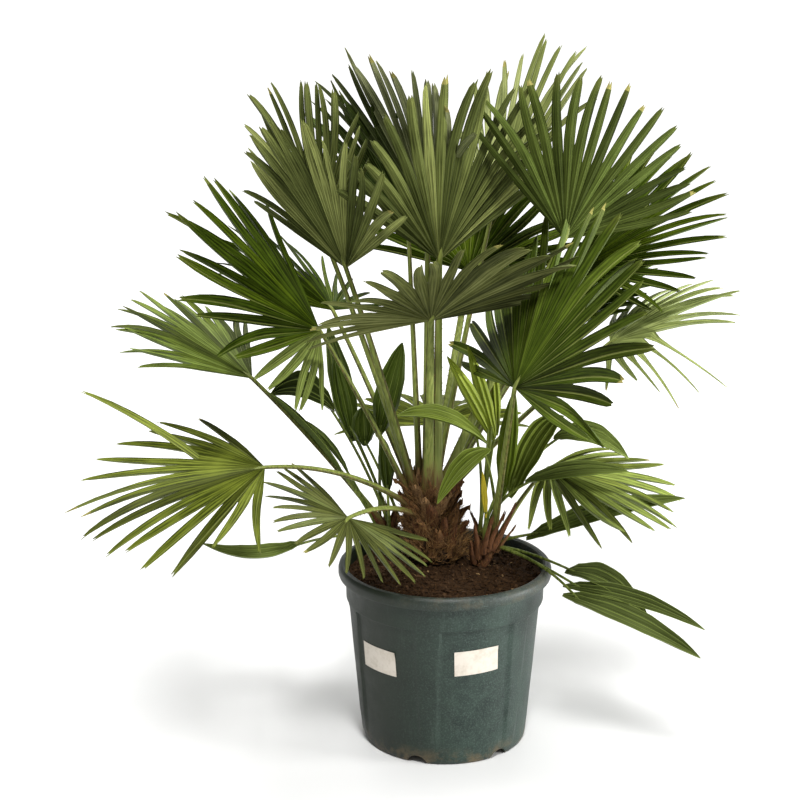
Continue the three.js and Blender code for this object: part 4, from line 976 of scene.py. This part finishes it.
# Young leaves: undivided, gently pleated blades on slim stalks, from the sheaths of the two side
# shoots. They are deep green and glossier than the fans, and arch over with their own weight.
# Each group has its green and its knot, and each leaf its foot, tip, width, arch and tilt, and a
# stalk's bow where it has one. Group 15, one small leaf gone yellow, has no solid of its own.
YOUNG = {
    "01": ("light", (67, 20, 378), [((75, -10, 547), (-82, -70, 614), 46, 22, 25)]),
    "02": ("light", (97, 37, 378), [((80, -22, 540), (-13, -86, 462), 40, 18, 20)]),
    "03": ("light", (73, 2, 369), [((103, -15, 452), (120, -28, 648), 34, 4, 0, (-14, 0, 0)),
                                   ((117, 0, 445), (210, 16, 590), 46, 40, 0, (-28, 0, 0))]),
    # Group 4 is darker than the other deep young leaves, painted shade inside its cupped blade.
    "04": ("dusky", (-98, 95, 365), [((-195, 90, 580), (-308, 60, 616), 74, 24, 30)]),
    "05": ("deep", (-98, 133, 365), [((-165, 105, 527), (-194, 95, 676), 42, 4, 0),
                                     ((-160, 112, 516), (-206, 112, 731), 42, 6, 0)]),
    "06": ("deep", (-78, 114, 365), [((-140, 60, 522), (-142, 40, 600), 44, 4, 0)]),
    "07": ("deep", (-114, 125, 350), [((-117, 95, 528), (-73, 85, 706), 48, 4, 0)]),
    "08": ("deep", (-96, 93, 350), [((-99, 66, 434), (-106, 56, 537), 28, 3, 0, (0, -28, 0))]),
    "09": ("deep", (-114, 104, 342), [((-176, 56, 464), (-311, 30, 631), 42, 10, 0),
                                      ((-171, 84, 466), (-250, 84, 564), 30, 6, 0, (0, -14, 0))]),
    # Group 10 takes a darker copy of the mid greens, painted shade.
    "10": ("dull", (96, 8, 351), [((207, -80, 309), (449, -128, 247), 34, 16, 35),
                                 ((204, -108, 303), (436, -172, 213), 52, 10, 20, (28, 0, 0)),
                                 ((213, -46, 322), (361, -78, 242), 58, 26, 20)]),
    "11": ("mid", (96, 32, 351), [((150, 30, 356), (425, -10, 447), 48, 12, 30)]),
    "12": ("mid", (-106, 95, 334), [((-250, -30, 372), (-420, -80, 388), 36, -22, 20)]),
    "13": ("mid", (83, 41, 369), [((141, -35, 485), (317, -65, 513), 38, 10, 30, (-28, 0, 0)),
                                  ((196, 50, 540), (331, 44, 503), 54, 22, 30, (-28, 0, 0))]),
    "14": ("gold", (65, 30, 369), [((88, 12, 547), (4, -18, 706), 26, 4, 0),
                                    ((90, 8, 552), (40, -4, 720), 24, 4, 0),
                                    ((94, 24, 552), (80, 20, 716), 22, 3, 0)]),
    "15": ("yellowed", (74, 6, 374), [((75, -14, 412), (67, -24, 500), 10, 3, 0)]),
}
YOUNG_GREENS = {
    "gold": [("#4A5A12", "#8E9A34"), ("#58661E", "#98A044")],
    # A deep green darkened to near black, painted shade inside the cupped blade of group 4.
    "dusky": [("#050A01", "#172203"), ("#0F1703", "#28310E")],
    "deep": [("#202C08", "#47561C"), ("#2E3917", "#566332")],
    # A darker copy of the mid greens, painted shade for group 10.
    "dull": [("#1A2306", "#3F4B1C"), ("#2A3211", "#535D31")],
    "mid": [("#27320A", "#5A6B27"), ("#3C471A", "#758342")],
    "light": [("#273305", "#58681A"), ("#333E0F", "#66732B")],
    "yellowed": [("#7E7A1C", "#C8B23A"), ("#7E7A1C", "#C8B23A")],
}
YOUNG_RIB = "#7C8A44"
YOUNG_CONTRAST = 0.45
# A young leaf's width along it, as a share of its widest.
SWELL = [(0, 0.14), (0.06, 0.4), (0.12, 0.62), (0.35, 1.0), (0.6, 0.94), (0.85, 0.5), (0.95, 0.22),
         (1.0, 0.03)]
young_greens = {}
for kind, (face, back) in YOUNG_GREENS.items():
    young_greens[kind] = [
        leaf_material(f"young_palm_leaf_face_{kind}", *face, 0.36, 0.14, YOUNG_RIB, YOUNG_CONTRAST),
        leaf_material(f"young_palm_leaf_back_{kind}", *back, 0.5, 0.1, YOUNG_RIB, YOUNG_CONTRAST),
    ]
young_stalk = stalk_material("young_stalk_skin", "#737E3A", "#48551E")
BEND_STEPS = 18
LEAF_ROWS = 28


def swell(t):
    for (low, a), (high, b) in zip(SWELL, SWELL[1:]):
        if t <= high:
            s = (t - low) / (high - low)
            return a + (b - a) * s * s * (3 - 2 * s) if high < 0.4 else a + (b - a) * s
    return 0.03


for key, (kind, knot, leaves) in YOUNG.items():
    knot = Vector(knot) / 1000
    stalk_points, stalk_faces, points, faces, flow = [], [], [], [], []
    shoot = "shoot_right" if knot.x > 0 else "shoot_left"
    low, high = Vector(SHOOTS[shoot][0]), Vector(SHOOTS[shoot][1])
    in_shoot = low.lerp(high, 0.8) / 1000
    root = [ground + in_shoot.lerp(knot, 0.35), ground + knot]
    add_tube(stalk_points, stalk_faces, root, [0.0052, 0.0044], 10)
    for foot, tip, width, arch, tilt, *bow in leaves:
        foot, tip, width, arch = Vector(foot) / 1000, Vector(tip) / 1000, width / 1000, arch / 1000
        along = tip - foot
        level = along.cross(UP)
        seen = Vector((1, 0, 0)) if abs(along.z) > 0.8 * along.length else level
        upper = seen.cross(along).normalized()
        if upper.z < 0:
            upper.negate()
        upper = Quaternion(along.normalized(), radians(tilt) * (1 if along.x >= 0 else -1)) @ upper
        across = along.cross(upper).normalized()
        inside = foot.lerp(tip, 0.12) + UP * 4 * arch * 0.12 * 0.88
        bend = knot.lerp(foot, 0.5) + UP * 0.12 * (foot - knot).length
        bend += Vector(bow[0] if bow else (0, 0, 0)) / 1000
        radii = [0.0036 - 0.0012 * i / BEND_STEPS for i in range(BEND_STEPS + 1)]
        add_tube(stalk_points, stalk_faces, bowed_path(knot, bend, inside, BEND_STEPS), radii, 8, 0.75)
        first = len(points)
        pleats = 4 if width > 0.03 else 3
        columns = pleats * 4 + 1
        for i in range(LEAF_ROWS + 1):
            t = i / LEAF_ROWS
            centre = foot.lerp(tip, t) + UP * 4 * arch * t * (1 - t)
            half = width / 2 * swell(t)
            for j in range(columns):
                a = j / (columns - 1) * 2 - 1
                ridge = abs((j % 4) - 2) / 2
                pleat = (ridge - 0.5) * min(0.0046, half * 0.3)
                points.append(ground + centre + across * a * half + upper * (abs(a) * half * 0.33 + pleat))
                flow.append((0.5 - 0.5 * ridge, t * 0.8))
        faces += grid_faces(first, LEAF_ROWS, columns - 1)
    blade = new_piece("young_leaf_" + key, points, faces, young_greens[kind])
    map_leaf(blade, flow)
    apply_modifier(blade, "SOLIDIFY", thickness=0.0010, offset=0.0, material_offset=1, material_offset_rim=0)
    bpy.ops.object.shade_smooth_by_angle(angle=radians(32))
    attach(blade, "root")
    if key != "15":
        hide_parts("young_" + key)
    stalk = new_piece("young_stalk_" + key, stalk_points, stalk_faces, [young_stalk])
    map_stalk(stalk, ground + in_shoot, 2.0)
    bpy.ops.object.shade_smooth_by_angle(angle=radians(50))
    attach(stalk, "root")

low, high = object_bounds()
